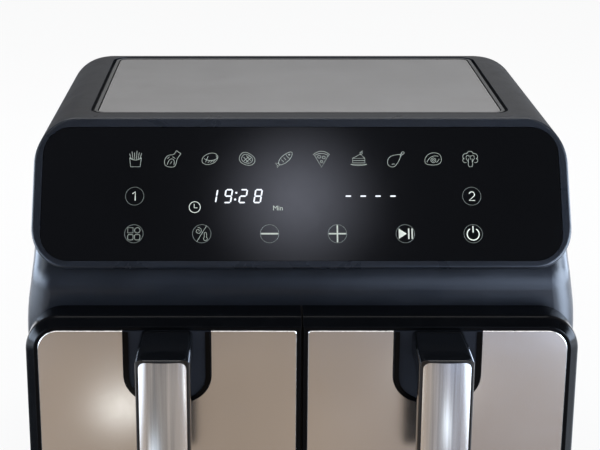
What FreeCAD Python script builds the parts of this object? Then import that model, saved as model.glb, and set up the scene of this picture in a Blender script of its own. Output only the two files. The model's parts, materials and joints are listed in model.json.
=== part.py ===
import FreeCAD, Part
import math
import os

# Dual-drawer air fryer in millimetres. +Z is up, the drawers face -Y, and the origin is on the floor
# under the middle of the outer box.

# Overall sizes
WIDTH = 389.0                 # across the lower body
BROW_WIDTH = 378.0            # across the control panel and the top
HEIGHT = 305.0
BODY_DEPTH = 318.0            # drawer face to the back wall
HANDLE_REACH = 52.0           # drawer face to the front of the grips

# Gaps and fits
FIT = 0.3                     # between pieces that are put together
DRAWER_GAP = 0.5              # between a drawer front and the casing
CENTRE_GAP = 1.4              # between the two drawer fronts
PLATE_GAP = 0.4               # round the steel drawer plates
SHAFT_FIT = 0.05              # radial running clearance
SCREW_FIT = 0.1
OVER = 1.0                    # how far a cut runs past what it cuts
TINY = 1e-4                   # closer than this counts as the same place
LEAST_R = 1.0                 # smallest rounding of an inset outline

# Casing
CASE_WALL = 2.5
TOP_EDGE_R = 30.0
BACK_CORNER_R = 36.0
FRONT_CORNER_R = 16.0
CHIN_BEND_R = 30.0
SHOULDER_TOP = 11.6           # above the panel foot, where the sides start to spread
SHOULDER_HEIGHT = 62.0
CORNER_FADE = 36.0            # height over which the front corners turn sharp behind the bezel
CORNER_FADE_R = 0.6
CHIN_HEIGHT = 26.9            # bezel foot down to the drawer tops
FOOT_HEIGHT = 8.0
FOOT_R = 11.0
FOOT_EDGE_R = 1.5
FOOT_INSET = 34.0             # from the body's outer faces to a foot's centre
BASE_THICK = 3.0
UPSTAND_THICK = 2.0
UPSTAND_HEIGHT = 7.0

# Tub, tray and steel plate in the top
TUB_DEPTH = 4.5
TUB_R = 12.0
TUB_SIDE_MARGIN = 36.7
TUB_FRONT_MARGIN = 7.5
TUB_BACK_MARGIN = 32.0
TRAY_GAP = 2.5
TRAY_RIM = 2.5
TRAY_FLOOR = 2.0
TRAY_SINK = 0.4
TOP_PLATE_GAP = 0.9
TOP_PLATE_THICK = 1.8

# Control panel
PANEL_LEAN = 30.0             # degrees from upright
PANEL_DROP = 94.6             # upright height of the bezel
PANEL_OVERHANG = 2.5          # bezel foot in front of the casing
BEZEL_THICK = 6.0
BEZEL_BORDER = 6.3
BEZEL_LEDGE = 9.0
BEZEL_FOOT_R = 26.0
BEZEL_EDGE_R = 2.0
GLASS_THICK = 3.0
GLASS_SINK = 0.3
GLASS_R = 20.0
BOARD_THICK = 1.6
BOARD_SETBACK = 8.0           # glass back to control board
BOARD_MARGIN = 4.0
WINDOW_LAP = 6.0              # casing wall left behind the bezel
DISPLAY_WIDTH = 136.0
DISPLAY_HEIGHT = 20.0
DISPLAY_R = 2.0
CONTACT_R = 3.5
ICON_MARGIN = 70.8            # panel side to the outer icons
UPPER_ICONS = 10
MIDDLE_ICONS = 2
LOWER_ICONS = 6
UPPER_ROW = 28.0              # down the panel from its top edge
LOWER_ROW_RISE = 27.2         # up the panel from its foot
STUD_R = 3.2
STUD_INSET = 6.0

# Back panel and mains inlet
REAR_PLATE = 2.0
REAR_SIDE_MARGIN = 59.5
REAR_TOP_MARGIN = 38.0
REAR_RISE = 29.0              # casing bottom to the back panel
REAR_LAP = 10.0
REAR_RIM = 2.0
REAR_RIM_DEPTH = 6.0
REAR_R = 10.0
VENT_ROWS = 10
VENT_LENGTH = 76.0
VENT_SLOT = 4.0
VENT_PITCH = 9.0
VENT_INSET = 26.0             # middle of the panel to the near end of a slot
VENT_TOP_MARGIN = 24.0
POWER_BOARD_WIDTH = 120.0
POWER_BOARD_HEIGHT = 64.0
POWER_STANDOFF = 18.0
POWER_POST_X = 18.0
POWER_POST_R = 3.0
POWER_DROP = 14.0
CHOKE_WIDTH = 36.0            # mains filter block on the power board
CHOKE_HEIGHT = 32.0
CHOKE_DEPTH = 22.0
CHOKE_X = -30.0
RELAY_WIDTH = 16.0
RELAY_HEIGHT = 17.0
RELAY_DEPTH = 14.0
RELAY_RISE = 5.0
CAPACITOR_R = 7.0
CAPACITOR_DEPTH = 20.0
CAPACITOR_RISE = 12.0         # above the middle of the board
COLUMN_X = 6.0                # first relay and capacitor
COLUMN_PITCH = 21.0
COLUMNS = 3
GLAND_SIDE = 94.5             # casing side to the mains inlet
GLAND_RISE = 16.0             # casing bottom to the mains inlet
GLAND_R = 8.0
GLAND_FLANGE_R = 11.5
GLAND_BORE_R = 3.6
GLAND_NECK = 8.0

# Fasteners
SCREW_R = 1.6
SCREW_HEAD_R = 3.6
SCREW_HEAD = 2.0
SCREW_LENGTH = 24.0
SHORT_SCREW = 6.0
BOSS_R = 4.6
BOSS_INSET = 9.0              # casing side to a base screw
BOSS_HEIGHT = 49.0            # casing bottom to the top of a screw boss
BOSS_FRONT = 30.0
BOSS_BACK = 60.0

# Cooking cavities
CAVITY_INNER = 10.0           # middle plane to the liner
CAVITY_OUTER = 20.5           # liner to the casing's side
CAVITY_RISE = 13.0            # casing bottom to the liner
CAVITY_ROOF_DROP = 15.5       # drawer top down to the liner's roof
CAVITY_BACK = 33.0            # liner to the back wall
CAVITY_FLANGE = 5.0
LINER_SETBACK = 0.15          # liner edge behind the casing front
SHEET = 1.2
RIB_WIDTH = 6.0
RIB_INSET = 37.0              # liner side to a runner rib
EXHAUST_WIDTH = 44.0
EXHAUST_HEIGHT = 22.0
EXHAUST_DROP = 26.0
CRADLE_WIDTH = 4.0
CRADLE_INSET = 22.0           # liner side to a rib of the base
FLOOR_SLOTS = 8
FLOOR_SLOT_LENGTH = 70.0
FLOOR_SLOT = 4.0
FLOOR_SLOT_PITCH = 16.0

# Fan, heater and motor over each cavity
CHAMBER_MARGIN = 7.0
CHAMBER_FLANGE = 5.0
CHAMBER_HEIGHT = 30.0
FAN_OPENING_LAP = 4.0
GRILLE_LAP = 7.0
GRILLE_HOLE_R = 4.0
GRILLE_FIRST_RING = 12.0
GRILLE_RING_PITCH = 13.0
GRILLE_HOLE_PITCH = 12.0
HEATER_TUBE_R = 3.2
HEATER_INSET = 21.0
HEATER_RISE = 8.0
HEATER_LEAD_X = 12.0
HEATER_LEAD_OUT = 12.0
HOT_FAN_INSET = 17.0
HOT_FAN_DISC_DROP = 5.0
HOT_FAN_GAP = 1.6             # heater to the blades
FAN_DISC = 1.2
FAN_HUB_R = 9.0
FAN_BLADES = 10
COOL_FAN_R = 44.0
COOL_FAN_RISE = 4.0
COOL_FAN_BLADE = 8.0
SHAFT_R = 3.0
SHAFT_HOLE_R = 5.0
BRACKET_HALF = 47.0
BRACKET_THICK = 2.0
BRACKET_RISE = 16.0
BRACKET_HOLE_R = 10.0
LEG_R = 4.0
LEG_INSET = 5.0
MOTOR_R = 30.0
MOTOR_HEIGHT = 34.0
MOTOR_BOSS_R = 9.0
MOTOR_BOSS = 5.0
PROBE_R = 2.5
PROBE_INSET = 32.0            # liner side to the probe
PROBE_IN = 20.0
PROBE_OUT = 5.0
PROBE_FLANGE_R = 6.0
PROBE_GAP = 1.0               # ceiling to the probe

# Drawer switches
SWITCH_INSET = 24.0           # liner side to the switch
SWITCH_WIDTH = 12.0
SWITCH_HEIGHT = 9.0
SWITCH_DEPTH = 16.0
PLUNGER_R = 2.0
PLUNGER_LENGTH = 9.0
PLUNGER_TRAVEL = 1.2
PLUNGER_FIT = 0.1

# Drawer fronts
FRONT_DEPTH = 27.0
FRONT_INSET = 3.0             # casing side to the outer edge of a drawer front
FRONT_LIFT = 3.0              # casing bottom to the drawer fronts
FRONT_OUTER_R = 26.0
FRONT_FOOT_R = 12.0
FRONT_ROLL = 9.0              # depth over which a drawer front rolls off behind its face
FRONT_ROLL_R = 10.0
FRONT_EDGE_R = 0.8
FACE_LIP = 2.8                # flat face left round the steel plate
FRONT_WALL = 3.5
SHELL_WALL = 2.5
COVER_THICK = 2.5
POST_R = 5.0
POST_INSET = 22.0
PLATE_OUTER = 10.1            # shell edge to the steel plate
PLATE_INNER = 3.3
PLATE_TOP_MARGIN = 7.7
PLATE_FOOT = 4.0
PLATE_OUTER_R = 14.0
PLATE_INNER_R = 2.0
PLATE_FOOT_R = 6.0
PLATE_SINK = 1.0
PLATE_PROUD = 0.4
PLATE_BEVEL = 0.35

# Handles
HANDLE_WIDTH = 36.0
HANDLE_TOP_MARGIN = 6.8       # below the drawer tops
GRIP_THICK = 16.0
GRIP_LENGTH = 106.0
GRIP_BULGE = 2.2
GRIP_FRONT_R = 5.0
GRIP_BACK_R = 4.0
GRIP_END_R = 4.0
GRIP_TOP_R = 1.6
HANDLE_EDGE_R = 4.0
ARM_HEIGHT = 19.0
ARM_COVE_R = 16.0
ARM_COVE_INSET = 0.5
INLAY_WIDTH = 31.6
INLAY_MARGIN = 1.4
INLAY_R = 5.5
INLAY_SINK = 0.9
INLAY_PROUD = 0.3
ESCUTCHEON_WIDTH = 59.5
ESCUTCHEON_HEIGHT = 52.5
ESCUTCHEON_R = 20.0
ESCUTCHEON_PROUD = 2.0
ESCUTCHEON_BORDER = 3.4
ESCUTCHEON_FLOOR = 1.2
HANDLE_SCREW_DROP = 7.0
HANDLE_SCREW_PITCH = 8.0

# Baskets and crisper plates
BASKET_SIDE_GAP = 3.8
BASKET_BACK_GAP = 6.0
BASKET_LIFT = 5.0             # above the liner's floor
BASKET_TOP_GAP = 8.8          # below the liner's ceiling
BASKET_R = 22.0
BASKET_FOOT_R = 10.0
RIM_WIDTH = 2.0
RIM_HEIGHT = 2.0
BASKET_SCREW_INSET = 32.0
BASKET_SCREW_RISE = 14.8      # basket floor to the lower screws
BASKET_SCREW_PITCH = 50.0
CRISPER_GAP = 6.0
CRISPER_RISE = 12.8
CRISPER_THICK = 1.5
CRISPER_HOLE_R = 3.5
CRISPER_PITCH = 15.0
CRISPER_EDGE = 9.0
FINGER_HOLE_R = 11.0
BUMPER_R = 6.0
BUMPER_NECK_R = 2.9
BUMPER_HEAD_R = 5.0
BUMPER_HEAD = 2.0
BUMPER_INSET = 13.0

# Places worked out from the sizes above
FACE_Y = (HANDLE_REACH - BODY_DEPTH - REAR_PLATE) / 2
BACK_Y = FACE_Y + BODY_DEPTH
FRONT_BACK_Y = FACE_Y + FRONT_DEPTH
BODY_Y = FRONT_BACK_Y + DRAWER_GAP
CASE_BOTTOM = FOOT_HEIGHT + BASE_THICK
CAVITY_BOTTOM = CASE_BOTTOM + CAVITY_RISE
FRONT_BOTTOM = CASE_BOTTOM + FRONT_LIFT
REAR_FOOT = CASE_BOTTOM + REAR_RISE
PANEL_FOOT_Z = HEIGHT - PANEL_DROP
PANEL_FOOT_Y = BODY_Y - PANEL_OVERHANG
LEAN = math.radians(PANEL_LEAN)
PANEL_LENGTH = PANEL_DROP / math.cos(LEAN)
LOWER_ROW = PANEL_LENGTH - LOWER_ROW_RISE
MIDDLE_ROW = (UPPER_ROW + LOWER_ROW) / 2
ICON_SPAN = BROW_WIDTH / 2 - ICON_MARGIN
FRONT_TOP = PANEL_FOOT_Z - CHIN_HEIGHT
HANDLE_TOP = FRONT_TOP - HANDLE_TOP_MARGIN

FRONT_OUTER_X = WIDTH / 2 - FRONT_INSET
LINER_WIDTH = WIDTH / 2 - CAVITY_INNER - CAVITY_OUTER
CAVITY_X = CAVITY_INNER + LINER_WIDTH / 2
LINER_FRONT = BODY_Y + LINER_SETBACK
LINER_BACK = BACK_Y - CAVITY_BACK
ROOF_Z = FRONT_TOP - CAVITY_ROOF_DROP
FAN_Y = (LINER_FRONT + LINER_BACK) / 2
PROBE_X = CAVITY_X + LINER_WIDTH / 2 - PROBE_INSET
PROBE_Z = ROOF_Z - SHEET - PROBE_GAP - PROBE_R

CHAMBER_R = LINER_WIDTH / 2 - CHAMBER_MARGIN
CHAMBER_TOP = ROOF_Z + CHAMBER_HEIGHT
FAN_OPENING_R = CHAMBER_R - SHEET - FAN_OPENING_LAP
HEATER_Z = ROOF_Z + HEATER_RISE
HEATER_R = CHAMBER_R - HEATER_INSET
HOT_FAN_R = CHAMBER_R - HOT_FAN_INSET
HOT_FAN_TOP = CHAMBER_TOP - HOT_FAN_DISC_DROP
HOT_FAN_LOW = HEATER_Z + HEATER_TUBE_R + HOT_FAN_GAP
BRACKET_Z = CHAMBER_TOP + BRACKET_RISE
MOTOR_Z = BRACKET_Z + BRACKET_THICK
MOTOR_TOP = MOTOR_Z + MOTOR_HEIGHT + MOTOR_BOSS

BASKET_WIDTH = LINER_WIDTH - 2 * SHEET - 2 * BASKET_SIDE_GAP
BASKET_FRONT = FRONT_BACK_Y + RIM_WIDTH
BASKET_BACK = LINER_BACK - SHEET - BASKET_BACK_GAP
BASKET_BOTTOM = CAVITY_BOTTOM + SHEET + BASKET_LIFT
BASKET_RIM = ROOF_Z - SHEET - BASKET_TOP_GAP
CRISPER_Z = BASKET_BOTTOM + SHEET + CRISPER_RISE

SWITCH_X = CAVITY_X + LINER_WIDTH / 2 - SWITCH_INSET
SWITCH_Z = ROOF_Z + CAVITY_FLANGE + FIT + SWITCH_HEIGHT / 2
PLUNGER_Y = FRONT_BACK_Y + FIT
SCREW_HOLE_R = SCREW_R + SCREW_FIT
GLAND_X = GLAND_SIDE - WIDTH / 2
GLAND_Z = CASE_BOTTOM + GLAND_RISE
SIDES = {"left": -1, "right": 1}


def vec(x, y, z):
    return FreeCAD.Vector(x, y, z)


def corner_arc(before, at, after, radius):
    """Start, middle and end of the arc that rounds one corner of an outline."""
    ax, ay = before[0] - at[0], before[1] - at[1]
    bx, by = after[0] - at[0], after[1] - at[1]
    a_len, b_len = math.hypot(ax, ay), math.hypot(bx, by)
    ax, ay, bx, by = ax / a_len, ay / a_len, bx / b_len, by / b_len
    half = math.acos(max(-1.0, min(1.0, ax * bx + ay * by))) / 2
    run = radius / math.tan(half)
    mid_x, mid_y = ax + bx, ay + by
    reach = (radius / math.sin(half) - radius) / math.hypot(mid_x, mid_y)
    start = (at[0] + ax * run, at[1] + ay * run)
    middle = (at[0] + mid_x * reach, at[1] + mid_y * reach)
    end = (at[0] + bx * run, at[1] + by * run)
    return start, middle, end


def rounded_face(points, radii, place):
    """Face inside an outline of straight runs with rounded corners, set into space by place(u, v)."""
    count = len(points)
    corners = []
    for i in range(count):
        if radii[i] > 0:
            corners.append(corner_arc(points[i - 1], points[i], points[(i + 1) % count], radii[i]))
        else:
            corners.append((points[i], None, points[i]))
    edges = []
    for i in range(count):
        start, middle, end = corners[i]
        if middle:
            edges.append(Part.Arc(place(*start), place(*middle), place(*end)).toShape())
        following = corners[(i + 1) % count][0]
        if math.dist(end, following) > TINY:
            edges.append(Part.LineSegment(place(*end), place(*following)).toShape())
    return Part.Face(Part.Wire(edges))


def prism_x(points, radii, x0, x1):
    return rounded_face(points, radii, lambda y, z: vec(x0, y, z)).extrude(vec(x1 - x0, 0, 0))


def prism_y(points, radii, y0, y1):
    return rounded_face(points, radii, lambda x, z: vec(x, y0, z)).extrude(vec(0, y1 - y0, 0))


def prism_z(points, radii, z0, z1):
    return rounded_face(points, radii, lambda x, y: vec(x, y, z0)).extrude(vec(0, 0, z1 - z0))


def panel_point(x, down, out):
    """Point on the leaning panel: down from its top edge, out from the bezel's front face."""
    up = PANEL_LENGTH - down
    y = PANEL_FOOT_Y + up * math.sin(LEAN) - out * math.cos(LEAN)
    z = PANEL_FOOT_Z + up * math.cos(LEAN) + out * math.sin(LEAN)
    return vec(x, y, z)


def panel_prism(points, radii, out0, out1):
    face = rounded_face(points, radii, lambda x, down: panel_point(x, down, out0))
    return face.extrude(panel_point(0, 0, out1) - panel_point(0, 0, out0))


def panel_cylinder(x, down, out0, out1, radius):
    start, end = panel_point(x, down, out0), panel_point(x, down, out1)
    return Part.makeCylinder(radius, (end - start).Length, start, end - start)


def rect(u0, u1, v0, v1):
    return [(u0, v0), (u1, v0), (u1, v1), (u0, v1)]


def box(x0, x1, y0, y1, z0, z1):
    x0, x1 = sorted((x0, x1))
    return Part.makeBox(x1 - x0, y1 - y0, z1 - z0, vec(x0, y0, z0))


def rod_z(x, y, z0, z1, radius):
    return Part.makeCylinder(radius, z1 - z0, vec(x, y, z0))


def rod_y(x, z, y0, y1, radius):
    return Part.makeCylinder(radius, y1 - y0, vec(x, y0, z), vec(0, 1, 0))


def fuse(shapes):
    return shapes[0].multiFuse(shapes[1:]).removeSplitter()


def flat_edges(shape, axis, level):
    """Edges that lie wholly at one level of an axis."""
    low, high = axis + "Min", axis + "Max"
    return [
        e for e in shape.Edges
        if abs(getattr(e.BoundBox, low) - level) < TINY and abs(getattr(e.BoundBox, high) - level) < TINY
    ]


def rising_edges(shape, half):
    """Edges that climb and lie no nearer to the middle plane than half."""
    reach = half - TINY
    outer = [e for e in shape.Edges if e.BoundBox.XMin > reach or e.BoundBox.XMax < -reach]
    return [e for e in outer if e.BoundBox.ZLength > OVER]


def lean_y(z, out):
    """Depth of the panel's plane, moved by out, at a height."""
    up = (z - PANEL_FOOT_Z - out * math.sin(LEAN)) / math.cos(LEAN)
    return PANEL_FOOT_Y + up * math.sin(LEAN) - out * math.cos(LEAN)


def lean_z(y, out):
    """Height of the panel's plane, moved by out, at a depth."""
    up = (y - PANEL_FOOT_Y + out * math.cos(LEAN)) / math.sin(LEAN)
    return PANEL_FOOT_Z + up * math.cos(LEAN) + out * math.sin(LEAN)


# Casing

def corner_wedge(side, inset, low, high):
    """Cutter that lets a casing front corner's rounding fade out, from low up the panel's slope to high."""
    half, out = BROW_WIDTH / 2 - inset, -BEZEL_THICK - inset
    wires = []
    for down, radius in ((low, FRONT_CORNER_R - inset), (high, CORNER_FADE_R)):
        near, bow = half - radius, radius * (1 - math.sqrt(0.5))
        past, ahead = half + OVER, out + OVER
        corners = [(near, out), (near, ahead), (past, ahead), (past, out - radius), (half, out - radius)]
        points = [panel_point(side * x, down, o) for x, o in corners]
        middle = panel_point(side * (half - bow), down, out - bow)
        lines = [Part.LineSegment(p, q).toShape() for p, q in zip(points, points[1:])]
        wires.append(Part.Wire(lines + [Part.Arc(points[-1], middle, points[0]).toShape()]))
    return Part.makeLoft(wires, True, True)


def flank_outline(inset, bottom, top):
    """Front view of the casing, whose sides spread in one soft curve from the panel to the drawers."""
    wide, slim = WIDTH / 2 - inset, BROW_WIDTH / 2 - inset
    high = PANEL_FOOT_Z + SHOULDER_TOP - SHOULDER_HEIGHT / 4
    low = high - SHOULDER_HEIGHT / 2
    turn = math.atan2(wide - slim, high - low)
    radius = math.hypot(wide - slim, high - low) / 2 / math.tan(turn / 2)
    right = [(wide, bottom), (wide, low), (slim, high), (slim, top)]
    left = [(-x, z) for x, z in reversed(right)]
    return right + left, [0, radius, radius, 0] * 2


def casing_block(inset, bottom):
    """Rounded solid of the casing's outside, or of its inside when inset by the wall."""
    half = BROW_WIDTH / 2 - inset
    front, back, top = BODY_Y + inset, BACK_Y - inset, HEIGHT - inset
    out = -BEZEL_THICK - inset
    brow = lean_y(top, out)
    profile = [(front, bottom), (front, lean_z(front, out)), (brow, top), (back, top), (back, bottom)]
    block = prism_x(profile, [0, CHIN_BEND_R - inset, 0, 0, 0], -WIDTH, WIDTH)
    block = block.common(prism_y(*flank_outline(inset, bottom, top), front, back))
    corners = [e for e in rising_edges(block, half) if e.CenterOfMass.y > back - OVER]
    block = block.makeFillet(BACK_CORNER_R - inset, corners)
    crown = [e for e in flat_edges(block, "Z", top) if e.BoundBox.YMax > brow + OVER]
    block = block.makeFillet(TOP_EDGE_R - inset, crown)

    split = PANEL_LENGTH - BEZEL_FOOT_R / math.cos(LEAN)
    below = panel_prism(rect(-WIDTH, WIDTH, split, split + 2 * HEIGHT), [0] * 4, -2 * BODY_DEPTH, BODY_DEPTH)
    lower, upper = block.common(below), block.cut(below)
    reach = panel_point(0, split, out).y + OVER
    ahead = [e for e in rising_edges(lower, half) if e.BoundBox.YMax < reach]
    lower = lower.makeFillet(FRONT_CORNER_R - inset, ahead)
    upper = upper.cut([corner_wedge(side, inset, split, split - CORNER_FADE) for side in SIDES.values()])
    return fuse([lower, upper])


def tub_outline(inset):
    half = BROW_WIDTH / 2 - TUB_SIDE_MARGIN - inset
    front = lean_y(HEIGHT, -BEZEL_THICK) + TUB_FRONT_MARGIN + inset
    back = BACK_Y - TUB_BACK_MARGIN - inset
    return rect(-half, half, front, back), [max(TUB_R - inset, LEAST_R)] * 4


def rear_outline(inset):
    half = WIDTH / 2 - REAR_SIDE_MARGIN - inset
    outline = rect(-half, half, REAR_FOOT + inset, HEIGHT - REAR_TOP_MARGIN - inset)
    return outline, [max(REAR_R - inset, LEAST_R)] * 4


def base_screw_places():
    x = WIDTH / 2 - BOSS_INSET
    return [(sx * x, y) for sx in (-1, 1) for y in (BODY_Y + BOSS_FRONT, BACK_Y - BOSS_BACK)]


def rear_screw_places():
    inset = REAR_LAP / 2
    x = WIDTH / 2 - REAR_SIDE_MARGIN - inset
    return [(sx * x, z) for sx in (-1, 1) for z in (REAR_FOOT + inset, HEIGHT - REAR_TOP_MARGIN - inset)]


def glass_outline(inset):
    half = BROW_WIDTH / 2 - BEZEL_BORDER - inset
    outline = rect(-half, half, BEZEL_BORDER + inset, PANEL_LENGTH - BEZEL_BORDER - inset)
    return outline, [max(GLASS_R - inset, LEAST_R)] * 4


def main_housing():
    shell = casing_block(0, CASE_BOTTOM).cut(casing_block(CASE_WALL, CASE_BOTTOM - OVER))
    floor_z = HEIGHT - TUB_DEPTH
    tub = prism_z(*tub_outline(-CASE_WALL), floor_z - CASE_WALL, HEIGHT - CASE_WALL / 2)
    boss_foot, boss_top = CASE_BOTTOM + UPSTAND_HEIGHT + FIT, CASE_BOTTOM + BOSS_HEIGHT
    added = [tub]
    for x, y in base_screw_places():
        wall_x = math.copysign(WIDTH / 2 - CASE_WALL / 2, x)
        added.append(rod_z(x, y, boss_foot, boss_top, BOSS_R))
        added.append(box(x, wall_x, y - SCREW_R, y + SCREW_R, boss_foot, boss_top))
    for x, z in rear_screw_places():
        added.append(rod_y(x, z, BACK_Y - SCREW_LENGTH - CASE_WALL, BACK_Y - CASE_WALL / 2, BOSS_R))
    shell = fuse([shell] + added)

    tools = [prism_z(*tub_outline(0), floor_z, HEIGHT + OVER)]
    tools.append(panel_prism(*glass_outline(WINDOW_LAP), -BEZEL_THICK - 2 * CASE_WALL, 0))
    tools.append(prism_y(*rear_outline(REAR_LAP), BACK_Y - 2 * CASE_WALL, BACK_Y + OVER))
    tools.append(rod_y(GLAND_X, GLAND_Z, BACK_Y - 2 * CASE_WALL, BACK_Y + OVER, GLAND_R))
    for x, y in base_screw_places():
        tools.append(rod_z(x, y, boss_foot - OVER, CASE_BOTTOM + SCREW_LENGTH, SCREW_HOLE_R))
    for x, z in rear_screw_places():
        tools.append(rod_y(x, z, BACK_Y - SCREW_LENGTH, BACK_Y + OVER, SCREW_HOLE_R))
    for side in SIDES.values():
        x = side * CAVITY_X
        half = LINER_WIDTH / 2 + FIT
        front, inside = BODY_Y - OVER, BODY_Y + 2 * CASE_WALL
        tools.append(box(x - half, x + half, front, inside, CAVITY_BOTTOM - FIT, ROOF_Z + FIT))
        tools.append(rod_y(side * SWITCH_X, SWITCH_Z, front, inside, PLUNGER_R + FIT))
    return shell.cut(tools)


def top_tray():
    floor_z = HEIGHT - TUB_DEPTH
    tray = prism_z(*tub_outline(TRAY_GAP), floor_z, HEIGHT - TRAY_SINK)
    pocket = prism_z(*tub_outline(TRAY_GAP + TRAY_RIM), floor_z + TRAY_FLOOR, HEIGHT)
    return tray.cut(pocket)


def top_plate():
    low = HEIGHT - TUB_DEPTH + TRAY_FLOOR
    return prism_z(*tub_outline(TRAY_GAP + TRAY_RIM + TOP_PLATE_GAP), low, low + TOP_PLATE_THICK)


def base_outline(inset):
    half = WIDTH / 2 - inset
    radii = [FRONT_CORNER_R - inset] * 2 + [BACK_CORNER_R - inset] * 2
    return rect(-half, half, BODY_Y + inset, BACK_Y - inset), radii


def base_tray():
    tray = prism_z(*base_outline(0), FOOT_HEIGHT, CASE_BOTTOM)
    inset, high = CASE_WALL + FIT, CASE_BOTTOM + UPSTAND_HEIGHT
    upstand = prism_z(*base_outline(inset), CASE_BOTTOM, high)
    inside = prism_z(*base_outline(inset + UPSTAND_THICK), CASE_BOTTOM, high)
    solids = [tray, upstand.cut(inside)]
    tools = []
    for side in SIDES.values():
        spread = LINER_WIDTH / 2 - CRADLE_INSET
        for x in (side * CAVITY_X - spread, side * CAVITY_X + spread):
            front, back = LINER_FRONT + 2 * CRADLE_WIDTH, LINER_BACK - 2 * CRADLE_WIDTH
            half = CRADLE_WIDTH / 2
            solids.append(box(x - half, x + half, front, back, FOOT_HEIGHT + BASE_THICK / 2, CAVITY_BOTTOM))
        for i in range(FLOOR_SLOTS):
            y = FAN_Y + (i - (FLOOR_SLOTS - 1) / 2) * FLOOR_SLOT_PITCH
            x0 = side * CAVITY_X - FLOOR_SLOT_LENGTH / 2
            outline = rect(x0, x0 + FLOOR_SLOT_LENGTH, y - FLOOR_SLOT / 2, y + FLOOR_SLOT / 2)
            tools.append(prism_z(outline, [FLOOR_SLOT / 2] * 4, FOOT_HEIGHT - OVER, CASE_BOTTOM + OVER))
    for x, y in base_screw_places():
        tools.append(rod_z(x, y, FOOT_HEIGHT - OVER, high + OVER, SCREW_HOLE_R))
        tools.append(rod_z(x, y, FOOT_HEIGHT - OVER, FOOT_HEIGHT + SCREW_HEAD, SCREW_HEAD_R + SCREW_FIT))
    return fuse(solids).cut(tools)


def feet():
    solids = []
    for x in (-WIDTH / 2 + FOOT_INSET, WIDTH / 2 - FOOT_INSET):
        for y in (BODY_Y + FOOT_INSET, BACK_Y - FOOT_INSET):
            foot = rod_z(x, y, 0, FOOT_HEIGHT, FOOT_R)
            solids.append(foot.makeFillet(FOOT_EDGE_R, flat_edges(foot, "Z", 0)))
    return solids


def case_screws():
    solids = []
    for x, y in base_screw_places():
        shank = rod_z(x, y, FOOT_HEIGHT + SCREW_HEAD / 2, FOOT_HEIGHT + SCREW_LENGTH, SCREW_R)
        solids.append(fuse([rod_z(x, y, FOOT_HEIGHT, FOOT_HEIGHT + SCREW_HEAD, SCREW_HEAD_R), shank]))
    for x, z in rear_screw_places():
        outer = BACK_Y + REAR_PLATE
        shank = rod_y(x, z, outer - SCREW_LENGTH, outer - SCREW_HEAD / 2, SCREW_R)
        solids.append(fuse([rod_y(x, z, outer - SCREW_HEAD, outer, SCREW_HEAD_R), shank]))
    return solids


def power_post_heights():
    top = HEIGHT - REAR_TOP_MARGIN - REAR_LAP - POWER_DROP
    return top - POWER_BOARD_HEIGHT + 2 * POWER_POST_R, top - 2 * POWER_POST_R


def rear_cover():
    plate = prism_y(*rear_outline(0), BACK_Y, BACK_Y + REAR_PLATE)
    rim = prism_y(*rear_outline(REAR_LAP + FIT), BACK_Y - REAR_RIM_DEPTH, BACK_Y + REAR_PLATE / 2)
    hollow = prism_y(*rear_outline(REAR_LAP + FIT + REAR_RIM), BACK_Y - REAR_RIM_DEPTH - OVER, BACK_Y)
    solids = [plate, rim.cut(hollow)]
    for x in (-POWER_POST_X, POWER_POST_X):
        for z in power_post_heights():
            solids.append(rod_y(x, z, BACK_Y - POWER_STANDOFF, BACK_Y + REAR_PLATE / 2, POWER_POST_R))
    tools = []
    top = HEIGHT - REAR_TOP_MARGIN - VENT_TOP_MARGIN
    for side in SIDES.values():
        for i in range(VENT_ROWS):
            z = top - i * VENT_PITCH
            x0, x1 = side * VENT_INSET, side * (VENT_INSET + VENT_LENGTH)
            outline = rect(x0, x1, z - VENT_SLOT / 2, z + VENT_SLOT / 2)
            tools.append(prism_y(outline, [VENT_SLOT / 2] * 4, BACK_Y - OVER, BACK_Y + REAR_PLATE + OVER))
    for x, z in rear_screw_places():
        tools.append(rod_y(x, z, BACK_Y - OVER, BACK_Y + REAR_PLATE + OVER, SCREW_HEAD_R + SCREW_FIT))
    return fuse(solids).cut(tools)


def power_board():
    low, high = power_post_heights()
    low, high = low - 2 * POWER_POST_R, high + 2 * POWER_POST_R
    back = BACK_Y - POWER_STANDOFF
    front = back - BOARD_THICK
    half = POWER_BOARD_WIDTH / 2
    middle = (low + high) / 2
    root = front + BOARD_THICK / 2
    solids = [box(-half, half, front, back, low, high)]
    choke, tall = CHOKE_WIDTH / 2, CHOKE_HEIGHT / 2
    solids.append(box(CHOKE_X - choke, CHOKE_X + choke, front - CHOKE_DEPTH, root,
                      middle - tall, middle + tall))
    relay_low = low + RELAY_RISE
    for i in range(COLUMNS):
        x = COLUMN_X + i * COLUMN_PITCH
        solids.append(rod_y(x, middle + CAPACITOR_RISE, front - CAPACITOR_DEPTH, root, CAPACITOR_R))
        solids.append(box(x - RELAY_WIDTH / 2, x + RELAY_WIDTH / 2, front - RELAY_DEPTH, root,
                          relay_low, relay_low + RELAY_HEIGHT))
    return fuse(solids)


def cord_gland():
    neck = rod_y(GLAND_X, GLAND_Z, BACK_Y - GLAND_NECK, BACK_Y + REAR_PLATE / 2, GLAND_R - FIT)
    flange = rod_y(GLAND_X, GLAND_Z, BACK_Y, BACK_Y + REAR_PLATE, GLAND_FLANGE_R)
    bore = rod_y(GLAND_X, GLAND_Z, BACK_Y - GLAND_NECK - OVER, BACK_Y + REAR_PLATE + OVER, GLAND_BORE_R)
    return fuse([neck, flange]).cut(bore)


# Control panel

def stud_places():
    half = BROW_WIDTH / 2 - BEZEL_BORDER - BEZEL_LEDGE - BOARD_MARGIN - STUD_INSET
    low = BEZEL_BORDER + BEZEL_LEDGE + BOARD_MARGIN + STUD_INSET
    return [(x, down) for x in (-half, 0, half) for down in (low, PANEL_LENGTH - low)]


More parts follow.
